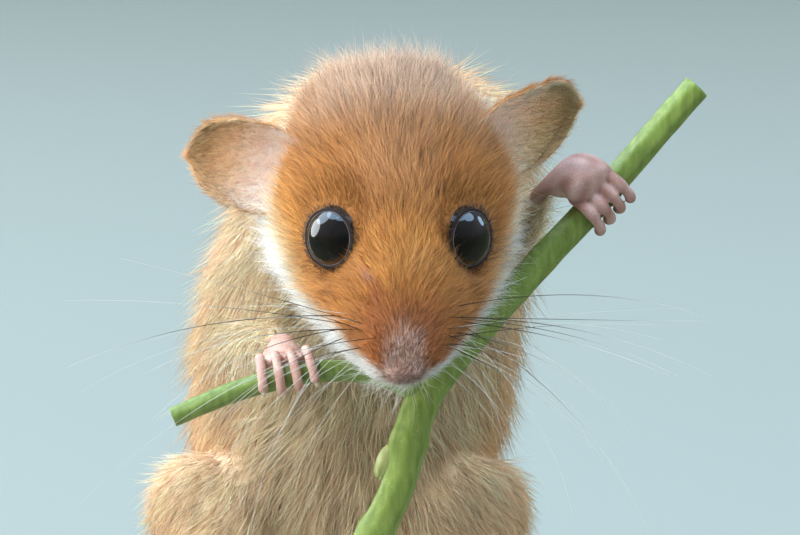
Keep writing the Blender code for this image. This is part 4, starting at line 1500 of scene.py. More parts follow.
    def on_head(self, points: Array, weights: Array) -> Array:
        """How thick hair grows on the head: thicker forwards, with none at the eyes and in the nostrils."""
        ahead = POSE.in_head(points)[:, 1]
        front = 1 + 1.6 * step(-8, 3, ahead) + 2.5 * step(4, 9, ahead)
        # no hair where the nose's painted shade is deep: the nostrils, the cleft and the line of the mouth
        bare = NOSE.sculpt(points, 0 * points)[1] > 0.4
        held = step(0.4, 0.5, weights[:, REGIONS.index(Region.HEAD)])
        return held * front * step(0.0, 0.05, self.near_eyes(points)) * ~bare

    def on_lips(self, points: Array, _: Array) -> Array:
        """How thick the long pale hairs grow, in a band low on the muzzle."""
        _, ahead, above = POSE.in_head(points).T
        _, foot, level, _ = HEAD.read(ahead)
        low = (level - above) / np.maximum(level - foot, 0.5)
        return hump(0.82, 0.32, low) * step(2.5, 5.5, ahead) * step(11.7, 11.2, ahead)

    def on_body(self, _: Array, weights: Array) -> Array:
        """1 on trunk and legs."""
        head, tail = (weights[:, REGIONS.index(region)] for region in (Region.HEAD, Region.TAIL))
        return (head < 0.52) * (tail < 0.5)

    def on_tail(self, _: Array, weights: Array) -> Array:
        """1 on the tail."""
        return weights[:, REGIONS.index(Region.TAIL)] >= 0.45

    def short(self, skin: Piece) -> list[Piece]:
        """The fine short hair of the head."""
        patch = self.patch(skin, self.face_hairs, 101, self.on_head)
        length = self.head_lengths(patch, 1.0, 0.2, 0.35)
        tufts = self.hairs(patch, length, (0.017 + 0.012 * length / MM / 3) * MM, 27, 102, 1, 0.45 * MM, 0.35)
        return self.pieces("coat_face", tufts, POSE.in_head(patch.points)[:, 0])

    def guard(self, skin: Piece) -> list[Piece]:
        """Longer bent hair over it, some dark and some pale, frosted on the nose and curled on its bridge."""
        patch = self.patch(skin, self.guard_hairs, 103, self.on_head)
        side, ahead, above = POSE.in_head(patch.points).T
        length = self.head_lengths(patch, 1.3, 0.12, 0.3)
        tufts = self.hairs(patch, length, 0.019 * MM, 38, 104, 2, 0.7 * MM, 0.35)
        kinds = np.random.default_rng(113).random((len(patch), 1))
        tones = tufts.tones * np.select([kinds < 0.20, kinds > 0.84], [0.42, 1.55], 1.0)
        nose = step(8.8, 10.6, ahead) * step(2.2, 0.6, abs(side) - 0.5 * (ahead - 10.4))
        nose = nose * (kinds[:, 0] > 0.42)
        tones = mixed(tones, self.frosted, 0.85 * nose)
        curled = hump(0.4, 1.9, side) * hump(5.4, 1.6, ahead) * (above > -1)
        tufts.tones = mixed(tones, self.golden, 0.6 * curled)
        stray = np.random.default_rng(114).normal(0, 1, (len(patch), 3)) * (0.10 + 0.42 * curled)[:, None]
        tufts.tips = tufts.tips + stray * tufts.length[:, None]
        return self.pieces("coat_guard", tufts, side)

    def lips(self, skin: Piece) -> list[Piece]:
        """The long pale hairs that hang from the lips."""
        patch = self.patch(skin, self.lip_hairs, 109, self.on_lips)
        way = unit(patch.flow + 0.9 * patch.normals - 0.9 * POSE.axes[1])
        patch.flow = unit(flattened(way, patch.normals))
        draw = np.random.default_rng(110)
        length = (0.5 + draw.gamma(3.0, 0.38, len(patch)) + 3.2 * (draw.random(len(patch)) < 0.09)) * MM
        tufts = self.hairs(patch, length, 0.016 * MM, 58, 111, 2, 0.6 * MM, 0.3)
        tufts.tones = np.array(MARKINGS.white) * np.random.default_rng(112).normal(1.0, 0.06, (len(patch), 1))
        return self.pieces("coat_lips", tufts, POSE.in_head(patch.points)[:, 0])

    def body(self, skin: Piece) -> list[Piece]:
        """The hair of trunk and legs, shorter down the legs."""
        patch = self.patch(skin, self.body_hairs, 105, self.on_body)
        length = (4.8 - 2.2 * step(0.4, 0.9, patch.weights[:, 3:].sum(axis=1))) * MM
        tufts = self.hairs(patch, length, 0.038 * MM, 22, 106, 2, 0.9 * MM, 0.35)
        # The body's hair: a gentler rise from the darker root to the paler tip, partly its own colour and
        # partly painted shade and light.
        tufts.shading = (0.68, 1.15)
        return self.pieces("coat_body", tufts, POSE.read(patch.points)[:, 1])

    def tail(self, skin: Piece) -> list[Piece]:
        """The hair of the tail."""
        patch = self.patch(skin, self.tail_hairs, 107, self.on_tail)
        tufts = self.hairs(patch, np.full(len(patch), 4.6 * MM), 0.07 * MM, 24, 108, 2, 1.0 * MM, 0.5)
        return self.pieces("coat_tail", tufts, POSE.read(patch.points)[:, 1])

    def build(self, skin: Piece) -> list[Piece]:
        """Every piece of the coat."""
        kinds = (self.short, self.guard, self.lips, self.body, self.tail)
        return [piece for kind in kinds for piece in kind(skin)]


# Eyes


@dataclass
class Eyes:
    """Round dark eyeballs, each in a thin dark lid with a moist rim whose pale grey colour is a painted
    highlight.

    Attributes:
        lid_thick: Half width of the lid's rim.
        wet_thick: Half width of the line of moisture along it.
        lash_count: Number of short hairs round each lid.
    """

    lid_thick: float = 0.115 * MM
    wet_thick: float = 0.032 * MM
    lash_count: int = 1100

    def ball(self, name: str, side: int) -> Piece:
        """One eyeball: a fine ball whose poles lie to its sides."""
        middle, across, up, looks = EYES.frame(side)
        axes = np.array([up, across, looks])
        return ball(middle, np.full(3, EYES.radius), axes, 64, 96).build(name)

    def ring(self, name: str, side: int, radius: float, level: float, half: Pair, wobble: float) -> Piece:
        """A closed ring across an eye's line: an oval carried round a circle that smooth waves bend.

        Args:
            name: Name of the piece.
            side: 1 for the left eye and -1 for the right.
            radius: Radius of the circle.
            level: How far it lies in front of the eyeball's middle.
            half: Half widths of the oval, across and along the eye's line.
            wobble: Share by which the waves change the oval.

        Returns:
            The ring.
        """
        middle, across, up, looks = EYES.frame(side)
        turn = np.linspace(0, TURN, 120, endpoint=False)[:, None, None]
        roll = np.linspace(0, TURN, 20, endpoint=False)[None, :, None]
        outwards = np.cos(turn) * across + np.sin(turn) * up
        size = 1 + wobble * (np.sin(5 * turn + side) + 0.6 * np.sin(11 * turn + 2)) / 1.6
        ring = middle + level * looks + (radius + half[0] * size * np.cos(roll)) * outwards
        points = ring + half[1] * size * np.sin(roll) * looks
        big, small = points.shape[:2]
        row, place = np.indices((big, small)).reshape(2, -1)
        steps = ((0, 0), (1, 0), (1, 1), (0, 1))
        corners = [((row + i) % big) * small + (place + j) % small for i, j in steps]
        faces = np.concatenate([np.stack([corners[k] for k in pick], 1) for pick in ((0, 1, 2), (0, 2, 3))])
        flat = points.reshape(-1, 3)
        return new_object(name, flat, facing_out(flat, faces))

    def lashes(self, name: str, side: int) -> Piece:
        """Short dark hairs on and round the lid that lie away from the eye."""
        middle, across, up, looks = EYES.frame(side)
        draw = np.random.default_rng(400 + side)
        turn = draw.uniform(0, TURN, self.lash_count)[:, None]
        away = np.cos(turn) * across + np.sin(turn) * up
        radius = EYES.lid_radius + draw.uniform(0.0, 0.42, (self.lash_count, 1)) * MM
        level = math.sqrt(EYES.radius**2 - EYES.lid_radius**2) + 0.10 * MM - 0.35 * (radius - EYES.lid_radius)
        roots = middle + level * looks + radius * away
        count = self.lash_count
        flow = unit(away + 0.35 * draw.normal(size=(count, 3)))
        normals = unit(0.3 * away + looks)
        flow = unit(flattened(flow, normals))
        tones = mixed((0.022, 0.014, 0.011), (0.34, 0.20, 0.13), draw.random(count) ** 2.2)
        chart = np.stack([0.5 + 0.3 * side + 0.05 * np.cos(turn[:, 0]), 0.5 + 0.05 * np.sin(turn[:, 0])], 1)
        length = draw.uniform(0.15, 0.42, count) * (1 + draw.random(count) ** 4) * MM
        tufts = Tufts(
            roots, normals, flow, length, np.full(count, 0.014 * MM),
            np.radians(20) * draw.uniform(0.4, 1.5, count), np.full(count, 0.5), tones, chart,
            0.05 * MM * draw.normal(size=(count, 3)), 2,
        )
        return tufts.build(name)

    def build(self, hair: Material) -> None:
        """Both eyes with their lids."""
        glossy = Shader("eye_dark", {"Base Color": (0.004, 0.0045, 0.005, 1), "Roughness": 0.02, "IOR": 1.8})
        depths = [(0.3, (0.003, 0.003, 0.004)), (0.8, (0.012, 0.008, 0.006))]
        glossy.link(glossy.ramp(glossy.noise(0.9 * MM), depths), "Base Color")
        lid = Shader("lid_skin", {"Roughness": 0.75, "Specular IOR Level": 0.2})
        folds = lid.noise(0.12 * MM, 3)
        lid.link(lid.ramp(folds, [(0.3, (0.012, 0.010, 0.010)), (0.75, (0.050, 0.034, 0.030))]), "Base Color")
        lid.bump((folds, 0.5, 0.05 * MM))
        # The rim's pale grey base colour is a painted highlight along the moisture; its gloss is its own.
        rim_highlight_settings = {"Base Color": (0.15, 0.125, 0.12, 1), "Roughness": 0.15, "Coat Weight": 0.6}
        moist_rim_highlight = Shader("lid_moisture", rim_highlight_settings)
        for side, word in ((1, "left"), (-1, "right")):
            dressed(self.ball(f"eyeball_{word}", side), glossy.material, "eye", f"eye_{word}")
            level = math.sqrt(EYES.radius**2 - (EYES.lid_radius - 0.05 * MM) ** 2) - 0.02 * MM
            half = (self.lid_thick * 1.2, self.lid_thick * 0.9)
            fold = self.ring(f"lid_{word}", side, EYES.lid_radius + 0.05 * MM, level, half, 0.14)
            dressed(fold, lid.material, "eye")
            edge = EYES.lid_radius - 0.085 * MM
            rim = math.sqrt(EYES.radius**2 - edge**2) + 0.03 * MM
            line = self.ring(f"lid_rim_{word}", side, edge, rim, (self.wet_thick, self.wet_thick), 0.45)
            dressed(line, moist_rim_highlight.material, "eye")
            dressed(self.lashes(f"lashes_{word}", side), hair, "coat")


# Ears


@dataclass(frozen=True)
class EarPose:
    """Where an ear grows and how it stands.

    Attributes:
        root: Middle of its root on the head.
        tip: Direction of its length in the pose's own frame.
        face: Direction that its cup opens to, in the pose's own frame.
        light: Factor on its colours, a painted light level: brighter on the left ear, a little darker on the
            right.
    """

    root: Triple
    tip: Triple
    face: Triple
    light: float = 1.0

    def axes(self) -> tuple[Array, Array, Array, Array]:
        """World root and the directions along, across and out of the cup."""
        along = unit(np.array(self.tip) @ POSE.axes)
        face = np.array(self.face) @ POSE.axes
        face = unit(face - (face @ along) * along)
        return POSE.on_head(self.root), along, np.cross(along, face), face


@dataclass
class Ears:
    """Thin rounded ears, cupped, with a curled rim, fine hair inside and out.

    Attributes:
        length: Root to tip.
        half_width: Half width at the widest place.
        cup: Depth of the cup.
        lean: How far the tip leans back.
        thick: Thickness of the leaf.
        places: How each ear stands.
    """

    length: float = 11.2 * MM
    half_width: float = 3.88 * MM
    cup: float = 2.2 * MM
    lean: float = 1.2 * MM
    thick: float = 0.30 * MM
    places: dict = field(
        default_factory=lambda: {
            # the last number is each ear's painted light level
            "left": EarPose((6.5, -7.95, 1.55), (0.79, 0.33, 0.51), (0.36, -0.52, -0.78), 1.28),
            "right": EarPose((-7.0, -6.2, 0.55), (-0.89, 0.15, 0.43), (-0.24, -0.28, -0.93), 0.95),
        }
    )

    def middle(self, ear: EarPose, share: Array, place: Array) -> Array:
        """The leaf's middle surface.

        Its half width rises from the root as a sine and closes to the tip as a full quarter oval. The cup is
        deepest along the middle, the rim rolls in a little and shallow folds run along the leaf.

        Args:
            ear: The ear's pose.
            share: Places from root (0) to tip (1).
            place: Places across, from -1 to 1.

        Returns:
            World places.
        """
        root, along, wide, face = ear.axes()
        closing = np.sqrt(np.maximum(1 - (np.clip(share - 0.45, 0, 1) / 0.55) ** 2.7, 0))
        spread = np.where(share < 0.45, 0.64 + 0.36 * np.sin(share / 0.45 * 0.5 * math.pi), closing)
        cup = self.cup * spread**2 * (1 - 0.6 * share) * (1 - place**2)
        roll = 0.35 * MM * step(0.80, 1.0, np.maximum(np.abs(place) * step(0.05, 0.4, share), share))
        folds = 0.10 * MM * np.sin(9 * place + 2.2 * share) * spread * (1 - share)
        depth = roll + folds - cup - self.lean * share**2
        notch = 1 - 0.05 * hump(0.62, 0.07, share) * step(0.5, 0.95, -place)
        return (
            root
            + (self.length * share)[..., None] * along
            + (self.half_width * spread * place * notch)[..., None] * wide
            + depth[..., None] * face
        )

    def leaf(self, name: str, ear: EarPose) -> Piece:
        """The closed leaf: the middle surface moved both ways by half its thickness, joined round the rim."""
        rows, columns = 56, 49
        share = np.sin(np.linspace(0, 0.5 * math.pi, rows))[:, None] * np.ones(columns)
        share = np.minimum(share, 0.9992)
        place = np.sin(np.linspace(-0.5 * math.pi, 0.5 * math.pi, columns))[None, :] * np.ones((rows, 1))
        middle = self.middle(ear, share, place)
        face = ear.axes()[3]
        normal = unit(np.cross(np.gradient(middle, axis=1), np.gradient(middle, axis=0)))
        normal = unit(normal * np.sign((normal @ face).mean()))
        thick = self.thick * (1 + 1.5 * (1 - share) ** 3) * np.sqrt(np.clip(1 - place**2, 0.04, 1))
        thick = thick * np.sqrt(np.clip(1 - share**6, 0.05, 1))
        front, back = middle + 0.5 * thick[..., None] * normal, middle - 0.5 * thick[..., None] * normal
        points = np.concatenate([front.reshape(-1, 3), back.reshape(-1, 3)])
        row, column = np.indices((rows - 1, columns - 1)).reshape(2, -1)
        here = row * columns + column
        quads = np.stack([here, here + 1, here + columns + 1, here + columns], 1)
        other = rows * columns
        rim = np.concatenate(
            [
                np.arange(columns - 1),
                np.arange(rows - 1) * columns + columns - 1,
                (rows - 1) * columns + np.arange(columns - 1, 0, -1),
                np.arange(rows - 1, 0, -1) * columns,
            ]
        )
        following = np.roll(rim, -1)
        edge = np.stack([rim, rim + other, following + other, following], 1)
        faces = np.concatenate([quads, quads[:, ::-1] + other, edge])
        faces = np.concatenate([faces[:, [0, 1, 2]], faces[:, [0, 2, 3]]])
        made = new_object(name, points, facing_out(points, faces))
        share, place = share.ravel(), place.ravel()
        inner = self.inner_tones(ear, share, place)
        outer = np.broadcast_to(np.array(MARKINGS.ginger) * 0.9, inner.shape)
        set_colours(made.data, "tone", np.concatenate([inner, outer]))
        return made

    def inner_tones(self, ear: EarPose, share: Array, place: Array) -> Array:
        """Colours inside the cup: pinkish white low down, ginger towards a dark rim, scaled by the ear's
        painted light level.
        """
        edge = np.maximum(np.abs(place), share)
        colour = mixed((0.78, 0.60, 0.51), (0.84, 0.50, 0.28), step(0.35, 0.85, share + 0.15 * place))
        rim = 0.8 * step(0.93, 1.0, edge) * step(0.0, 0.3, share)
        # painted light: the left ear's colours are brightened and the right's darkened a little
        return np.minimum(mixed(colour, np.array(MARKINGS.brown) * 1.6, rim) * ear.light, 1)

    def hair(self, name: str, ear: EarPose, seed: int) -> list[Piece]:
        """Fine hair over the back, inside the cup and past the rim."""
        draw = np.random.default_rng(seed)
        made = []
        counts = {"back": 5200, "inside": 4200, "rim": 1500}
        face = ear.axes()[3]
        for kind, count in counts.items():
            share, place = np.sqrt(draw.random(count)), draw.uniform(-0.97, 0.97, count)
            if kind == "rim":
                turn = draw.uniform(-1, 1, count) * 0.5 * math.pi
                share, place = 0.30 + 0.69 * np.cos(turn) ** 0.7, np.sin(turn) * 0.985
                share = np.where(np.abs(place) > 0.97, draw.uniform(0.1, 0.6, count), share)
            share = np.clip(share, 0.04, 0.985)
            nudge = 0.01
            roots = self.middle(ear, share, place)
            outwards = unit(self.middle(ear, np.clip(share + nudge, 0, 1), place * (1 + nudge)) - roots)
            side = unit(self.middle(ear, share, np.clip(place + nudge, -1, 1)) - roots)
            along = unit(self.middle(ear, np.clip(share + nudge, 0, 1), place) - roots)
            normal = unit(np.cross(side, along))
            normal = normal * np.sign((normal @ face))[:, None]
            if kind == "back":
                normal = -normal
            flow = unit(outwards + 0.25 * draw.normal(size=(count, 3)))
            flow = unit(flattened(flow, normal))
            inner = self.inner_tones(ear, share, place)
            tones = {
                "back": np.broadcast_to(np.array(MARKINGS.ginger), (count, 3)),
                "inside": mixed(inner * 1.15, MARKINGS.bright, 0.5 * step(0.1, 0.6, draw.random(count))),
                "rim": mixed(MARKINGS.ginger, MARKINGS.cream, draw.random(count)),
            }[kind] * draw.normal(1, 0.12, (count, 1))
            length = {"back": 1.1, "inside": 1.0, "rim": 0.65}[kind] * draw.uniform(0.6, 1.3, count) * MM
            lift = {"back": 18, "inside": 16, "rim": 10}[kind]
            tufts = Tufts(
                roots + normal * 0.1 * MM, normal, flow, length, np.full(count, 0.020 * MM),
                np.radians(lift) * draw.uniform(0.5, 1.5, count), np.full(count, 0.5), tones,
                np.stack([share, 0.5 + 0.5 * place], 1), 0.06 * MM * draw.normal(size=(count, 3)),
                2 if kind == "rim" else 1,
            )
            made.append(tufts.build(f"{name}_hair_{kind}"))
        return made

    def build(self, hair: Material) -> None:
        """Both ears with their hair."""
        shader = Shader(
            "ear_leaf",
            {
                "Roughness": 0.5, "Subsurface Weight": 0.5, "Subsurface Radius": (1.0, 0.35, 0.2),
                "Subsurface Scale": 0.0015, "Specular IOR Level": 0.35, "Sheen Weight": 0.2,
            },
        )
        grain = shader.noise(0.16 * MM, 4, (1, 1, 2.5))
        tone = shader.colours("tone")
        veins = shader.ramp(grain, [(0.3, (0.75, 0.68, 0.64)), (0.7, (1, 1, 1))])
        shader.link(shader.toned(tone, veins, 0.7), "Base Color")
        shader.bump((grain, 0.4, 0.04 * MM))
        for count, (word, ear) in enumerate(self.places.items()):
            dressed(self.leaf(f"ear_leaf_{word}", ear), shader.material, "ear_skin", f"ear_{word}")
            for piece in self.hair(f"ear_{word}", ear, 200 + count):
                dressed(piece, hair, "coat")


# Whiskers


@dataclass
class Whiskers:
    """Long fine whiskers on each side of the muzzle, dark at the root and pale at the tip.

    Attributes:
        tiers: For each level of roots: height on the head, angle over the horizon and angle lost on the way.
        ranks: Number of roots in a tier, from the front backwards.
        rows: Places along a whisker.
        half_width: Half width at the root.
        seed: Picks the small differences.
        root_tone: Colour at the root.
        tip_tone: Colour at the tip.
    """

    tiers: tuple = ((-1.6, 9, 20), (-2.3, 1, 24), (-3.0, -9, 28), (-3.7, -22, 34), (-4.3, -36, 40))
    ranks: int = 5
    rows: int = 25
    half_width: float = 0.034 * MM
    seed: int = 301
    root_tone: tuple = (0.030, 0.018, 0.012)
    tip_tone: tuple = (0.66, 0.61, 0.54)

    def path(self, root: Array, side: int, angle: float, fall: float, back: float, length: float) -> Array:
        """Places along one whisker: steps whose angle over the horizon falls evenly from root to tip."""
        share = np.linspace(0, 1, self.rows)
        slope = np.radians(angle - fall * share**1.3)
        turn = np.radians(back * (1 - 0.5 * share))
        level = np.cos(slope) * np.cos(turn)
        ways = np.stack([side * level, np.sin(slope), np.cos(slope) * np.sin(turn)], 1) @ POSE.axes
        steps = ways[1:] * length / (self.rows - 1)
        return root + np.concatenate([np.zeros((1, 3)), np.cumsum(steps, axis=0)])

    def build(self) -> None:
        """All whiskers as one piece of four-sided tapering tubes."""
        draw = np.random.default_rng(self.seed)
        around = 4
        surfaces, tones = [], []
        for side, tier, rank in product((1, -1), range(len(self.tiers)), range(self.ranks)):
            level, angle, fall = self.tiers[tier]
            ahead = 9.5 - 0.70 * rank - 0.3 * (tier % 2) + draw.normal(0, 0.22)
            above = level + 0.06 * rank + draw.normal(0, 0.20)
            top, foot, widest, width = (float(v[0]) for v in HEAD.read(np.array([ahead])))
            reach = (above - widest) / ((top - widest) if above > widest else (widest - foot))
            flat = (width - 0.30) * math.sqrt(max(1 - reach**2, 0.15))
            length = (11.5 + 2.6 * rank - 1.3 * abs(tier - 1.5) + draw.normal(0, 3.0)) * MM
            way = angle + 2.2 * (rank - 2.5) + draw.normal(0, 8)
            back = 18 - 9 * rank + draw.normal(0, 10)
            root = POSE.on_head((side * flat, ahead, above))
            path = self.path(root, side, way, fall + draw.normal(0, 9), back, length)
            t = np.linspace(0, 1, self.rows)
            dark = -0.25
            if draw.random() < 0.80 - 0.15 * tier:
                dark = 0.46 + 0.04 * rank - 0.07 * tier + draw.normal(0, 0.08)
            half = self.half_width * (1 - 0.82 * t) * draw.uniform(0.75, 1.15) * (1.2 if dark > 0 else 0.62)
            _, _, sides, tops = Line(path).read(t)
            turn = np.linspace(0, TURN, around, endpoint=False)[:, None]
            across = np.cos(turn) * sides[:, None] + np.sin(turn) * tops[:, None]
            surfaces.append(Rings(path[:, None] + half[:, None, None] * across, path[0], path[-1]).arrays())
            shade = mixed(self.root_tone, self.tip_tone, step(dark - 0.2, dark + 0.3, t))
            tones += [np.repeat(shade, around, axis=0), shade[:1], shade[-1:]]
        made = new_object("whiskers", *stacked(surfaces))
        set_colours(made.data, "tone", np.concatenate(tones))
        shader = Shader("whisker_hair", {"Roughness": 0.35, "Specular IOR Level": 0.5})
        shader.link(shader.colours("tone"), "Base Color")
        dressed(made, shader.material, "coat")


# Feet


@dataclass(frozen=True)
class FootSizes:
    """Sizes of one kind of foot, in millimetres, with its angle in degrees.

    Attributes:
        spacing: Distance between the digits along the perch.
        splay: How much further apart they are at their tips.
        half_width: Half width of a digit.
        length: Length of a digit round the perch.
        start: Angle from the palm's middle at which a digit leaves it.
        palm: Half widths at wrist, palm and knuckles.
        flat: Height over width of the palm.
        claw: Length of a claw.
    """

    spacing: float
    splay: float
    half_width: float
    length: float
    start: float
    palm: Triple
    flat: float
    claw: float


@dataclass(frozen=True)
class Grip:
    """How one foot holds the perch.

    Attributes:
        sizes: The foot's sizes.
        leg: The leg that carries it.
        hold: Place on the perch's middle line, in the pose's own frame.
        along: Direction of the perch there.
        palm: Direction from the perch to the palm.
        over: Which way round the digits go.
        radius: Half width of the perch there.
        tones: Darker and paler colour of its skin; the left forefoot's are darker, as painted shade.
    """

    sizes: FootSizes
    leg: Region
    hold: Triple
    along: Triple
    palm: Triple
    over: int
    radius: float
    tones: tuple[tuple, tuple] = ((0.62, 0.34, 0.27), (0.80, 0.56, 0.46))


FIST = FootSizes(1.14, 0.12, 0.50, 4.7, 46, (1.9, 2.3, 2.35), 0.72, 1.0)
FOREFOOT = FootSizes(1.24, 0.22, 0.45, 4.7, 36, (1.7, 2.15, 2.25), 0.5, 1.0)
HINDFOOT = FootSizes(1.38, 0.18, 0.51, 5.4, 34, (1.8, 2.05, 2.6), 0.55, 1.1)
GRIPS = {
    "forefoot_left": Grip(
        FIST, Region.FORELEG_LEFT, (16.5, 5.7, 16.8), (0.68, 0.73, 0.1), (-0.56, 0.56, -0.42), 1, 1.2,
        # painted shade: this foot's skin tones are darker than the other feet's
        ((0.46, 0.25, 0.205), (0.68, 0.46, 0.41)),
    ),
    "forefoot_right": Grip(
        FOREFOOT, Region.FORELEG_RIGHT, (-9.2, -8.9, 12.5), (-0.98, -0.18, -0.08), (-0.08, 0.42, 0.9), -1, 0.9
    ),
    "hindfoot_left": Grip(
        HINDFOOT, Region.HINDLEG_LEFT, (-6.0, -28.0, 14), (0.4, 0.91, 0), (0.75, -0.33, 0.66), -1, 1.43
    ),
    "hindfoot_right": Grip(
        HINDFOOT, Region.HINDLEG_RIGHT, (-9.6, -35.8, 14), (0.4, 0.91, 0), (-0.8, 0.33, 0.6), 1, 1.43
    ),
}


@dataclass
class Feet:
    """Pink feet whose digits curl round the perch, with folds, pads and small pale claws.

    Attributes:
        places: Where the digits stand across a foot, in spacings from its middle.
        thumb: Place of a hindfoot's opposed digit, its share of the length and its start in degrees.
        voxel: Grain of the closed skin.
    """

    places: tuple[float, ...] = (-1.5, -0.5, 0.5, 1.5)
    thumb: Triple = (-1.15, 0.62, 20)
    voxel: float = 0.13 * MM

    def digit(
        self, grip: Grip, hold: Array, along: Array, out: Array,
        sense: int, place: float, length: float, start: float,
    ) -> tuple[Rings, Rings]:
        """One digit and its claw, curled round the perch at the digit's own half width off it.

        The half width swells over each joint as a bell does and again at the pad of the tip.

        Args:
            grip: The foot's grip.
            hold: Middle of the perch under the foot.
            along: Way of the perch.
            out: Way from the perch to the palm.
            sense: Which way round the perch the digit goes.
            place: Where it stands across the foot.
            length: Its length in millimetres.
            start: Angle from the palm at which it starts, in degrees.

        Returns:
            The digit and the claw.
        """
        sizes = grip.sizes
        size = sizes.half_width * MM
        distance = grip.radius * MM + 0.15 * MM + size
        arc = length * (1 - 0.05 * place**2) * MM / distance
        spots = np.linspace(-0.35, 1, 13)
        angles = math.radians(start) + spots * arc
        lift = distance + 0.35 * MM * bell(0.15, 0.05, spots)
        round_way = sense * np.cross(along, out)
        middle = hold + along * place * (sizes.spacing + sizes.splay * spots[:, None]) * MM
        path = middle + (lift * np.cos(angles))[:, None] * out + (lift * np.sin(angles))[:, None] * round_way
        knuckles = 0.13 * bell(0.18, 0.012, spots) + 0.10 * bell(0.58, 0.010, spots)
        pad = 0.16 * bell(0.88, 0.010, spots)
        widths = size * (0.93 - 0.10 * spots + knuckles + pad)
        digit = Line(path, along).tube(widths, 46, 20, caps=(0, 0.45 * MM))
        end = angles[-1]
        heading = -math.sin(end) * out + math.cos(end) * round_way
        towards = -(math.cos(end) * out + math.sin(end) * round_way)
        base = path[-1] - 0.40 * MM * heading - 0.12 * MM * towards
        reach = sizes.claw * MM
        t = np.linspace(0, 1, 7)[:, None]
        claw_path = base + reach * (t * heading + 0.42 * t**2 * towards - 0.05 * t * towards)
        claw_widths = 0.24 * MM * (1 - 0.86 * t[:, 0] ** 1.3)
        claw_line = Line(claw_path, np.cross(heading, towards))
        claw = claw_line.tube(claw_widths, 18, 12, caps=(0.1 * MM, 0.05 * MM))
        return digit, claw

    def build_one(self, name: str, grip: Grip, skin: Material, horn: Material) -> None:
        """One foot as a closed skin, with its claws as one piece."""
        sizes = grip.sizes
        hold = POSE.place(grip.hold)
        along = unit(np.array(grip.along) @ POSE.axes)
        out = np.array(grip.palm) @ POSE.axes
        out = unit(out - (out @ along) * along)
        leg = LEGS[grip.leg].world()
        ankle, above = leg[-1], leg[-2]
        distance = grip.radius * MM + 0.15 * MM + 0.8 * sizes.palm[2] * sizes.flat * MM
        begin = math.radians(sizes.start)
        round_way = grip.over * np.cross(along, out)
        knuckles = hold + distance * (math.cos(begin) * out + math.sin(begin) * round_way)
        palm_middle = hold + distance * 1.12 * out
        inside = ankle + 0.5 * (above - ankle)
        path = np.array([inside, ankle, 0.45 * ankle + 0.55 * palm_middle, palm_middle, knuckles])
        widths = np.array([0.9, 0.95, *sizes.palm]) * MM
        palm = Line(path, along).tube(widths, 60, 36, caps=(0, 0.9 * MM), flatness=sizes.flat)
        turns = [(grip.over, place, sizes.length, sizes.start) for place in self.places]
        if name.startswith("hind"):
            place, share, start = self.thumb
            turns.append((-grip.over, place * grip.over, share * sizes.length, start))
        digits, claws = [palm.arrays()], []
        for turn in turns:
            digit, claw = self.digit(grip, hold, along, out, *turn)
            digits.append(digit.arrays())
            claws.append(claw.arrays())
        foot = remeshed(f"{name}_skin", digits, self.voxel)
        mesh = foot.data
        set_points(mesh, relaxed(points_of(mesh), edges_of(mesh), 5))
        points = points_of(mesh)
        near_leg = step(1.4, 3.6, np.linalg.norm(points - knuckles, axis=1) / MM - 1.2)
        pale = 0.5 + 0.5 * ripple(points, 0.9 * MM, 31)
        colour = mixed(*grip.tones, pale)
        colour = mixed(colour, 0.75 * np.array(grip.tones[0]), 0.5 * near_leg)
        set_colours(mesh, "tone", colour)
        mesh.shade_smooth()
        dressed(foot, skin, "foot_skin", name)
        claw_piece = new_object(f"{name}_claws", *stacked(claws))
        dressed(claw_piece, horn, "foot_skin")

    def build(self) -> None:
        """All four feet."""
        skin = Shader(
            "foot_skin",
            {
                "Roughness": 0.45, "Subsurface Weight": 0.35, "Subsurface Radius": (1.0, 0.35, 0.2),
                "Subsurface Scale": 0.0008, "Specular IOR Level": 0.45,
            },
        )
        folds = skin.noise(0.18 * MM, 3, (1, 1, 0.5))
        shade = skin.ramp(skin.cells(0.22 * MM), [(0.0, (1, 1, 1)), (0.75, (0.80, 0.70, 0.68))])
        skin.link(skin.toned(skin.colours("tone"), shade, 0.7), "Base Color")
        skin.bump((folds, 0.5, 0.05 * MM), (skin.cells(0.2 * MM), 0.35, 0.04 * MM))
        horn = Shader(
            "claw_horn",
            {"Roughness": 0.25, "Subsurface Weight": 0.3, "Subsurface Scale": 0.0005, "Coat Weight": 0.3},
        )
        streaks = horn.noise(0.1 * MM, 2, (1, 1, 5))
        horn.link(horn.ramp(streaks, [(0.3, (0.62, 0.47, 0.38)), (0.7, (0.86, 0.76, 0.68))]), "Base Color")
        for name, grip in GRIPS.items():
            self.build_one(name, grip, skin.material, horn.material)


# Perch


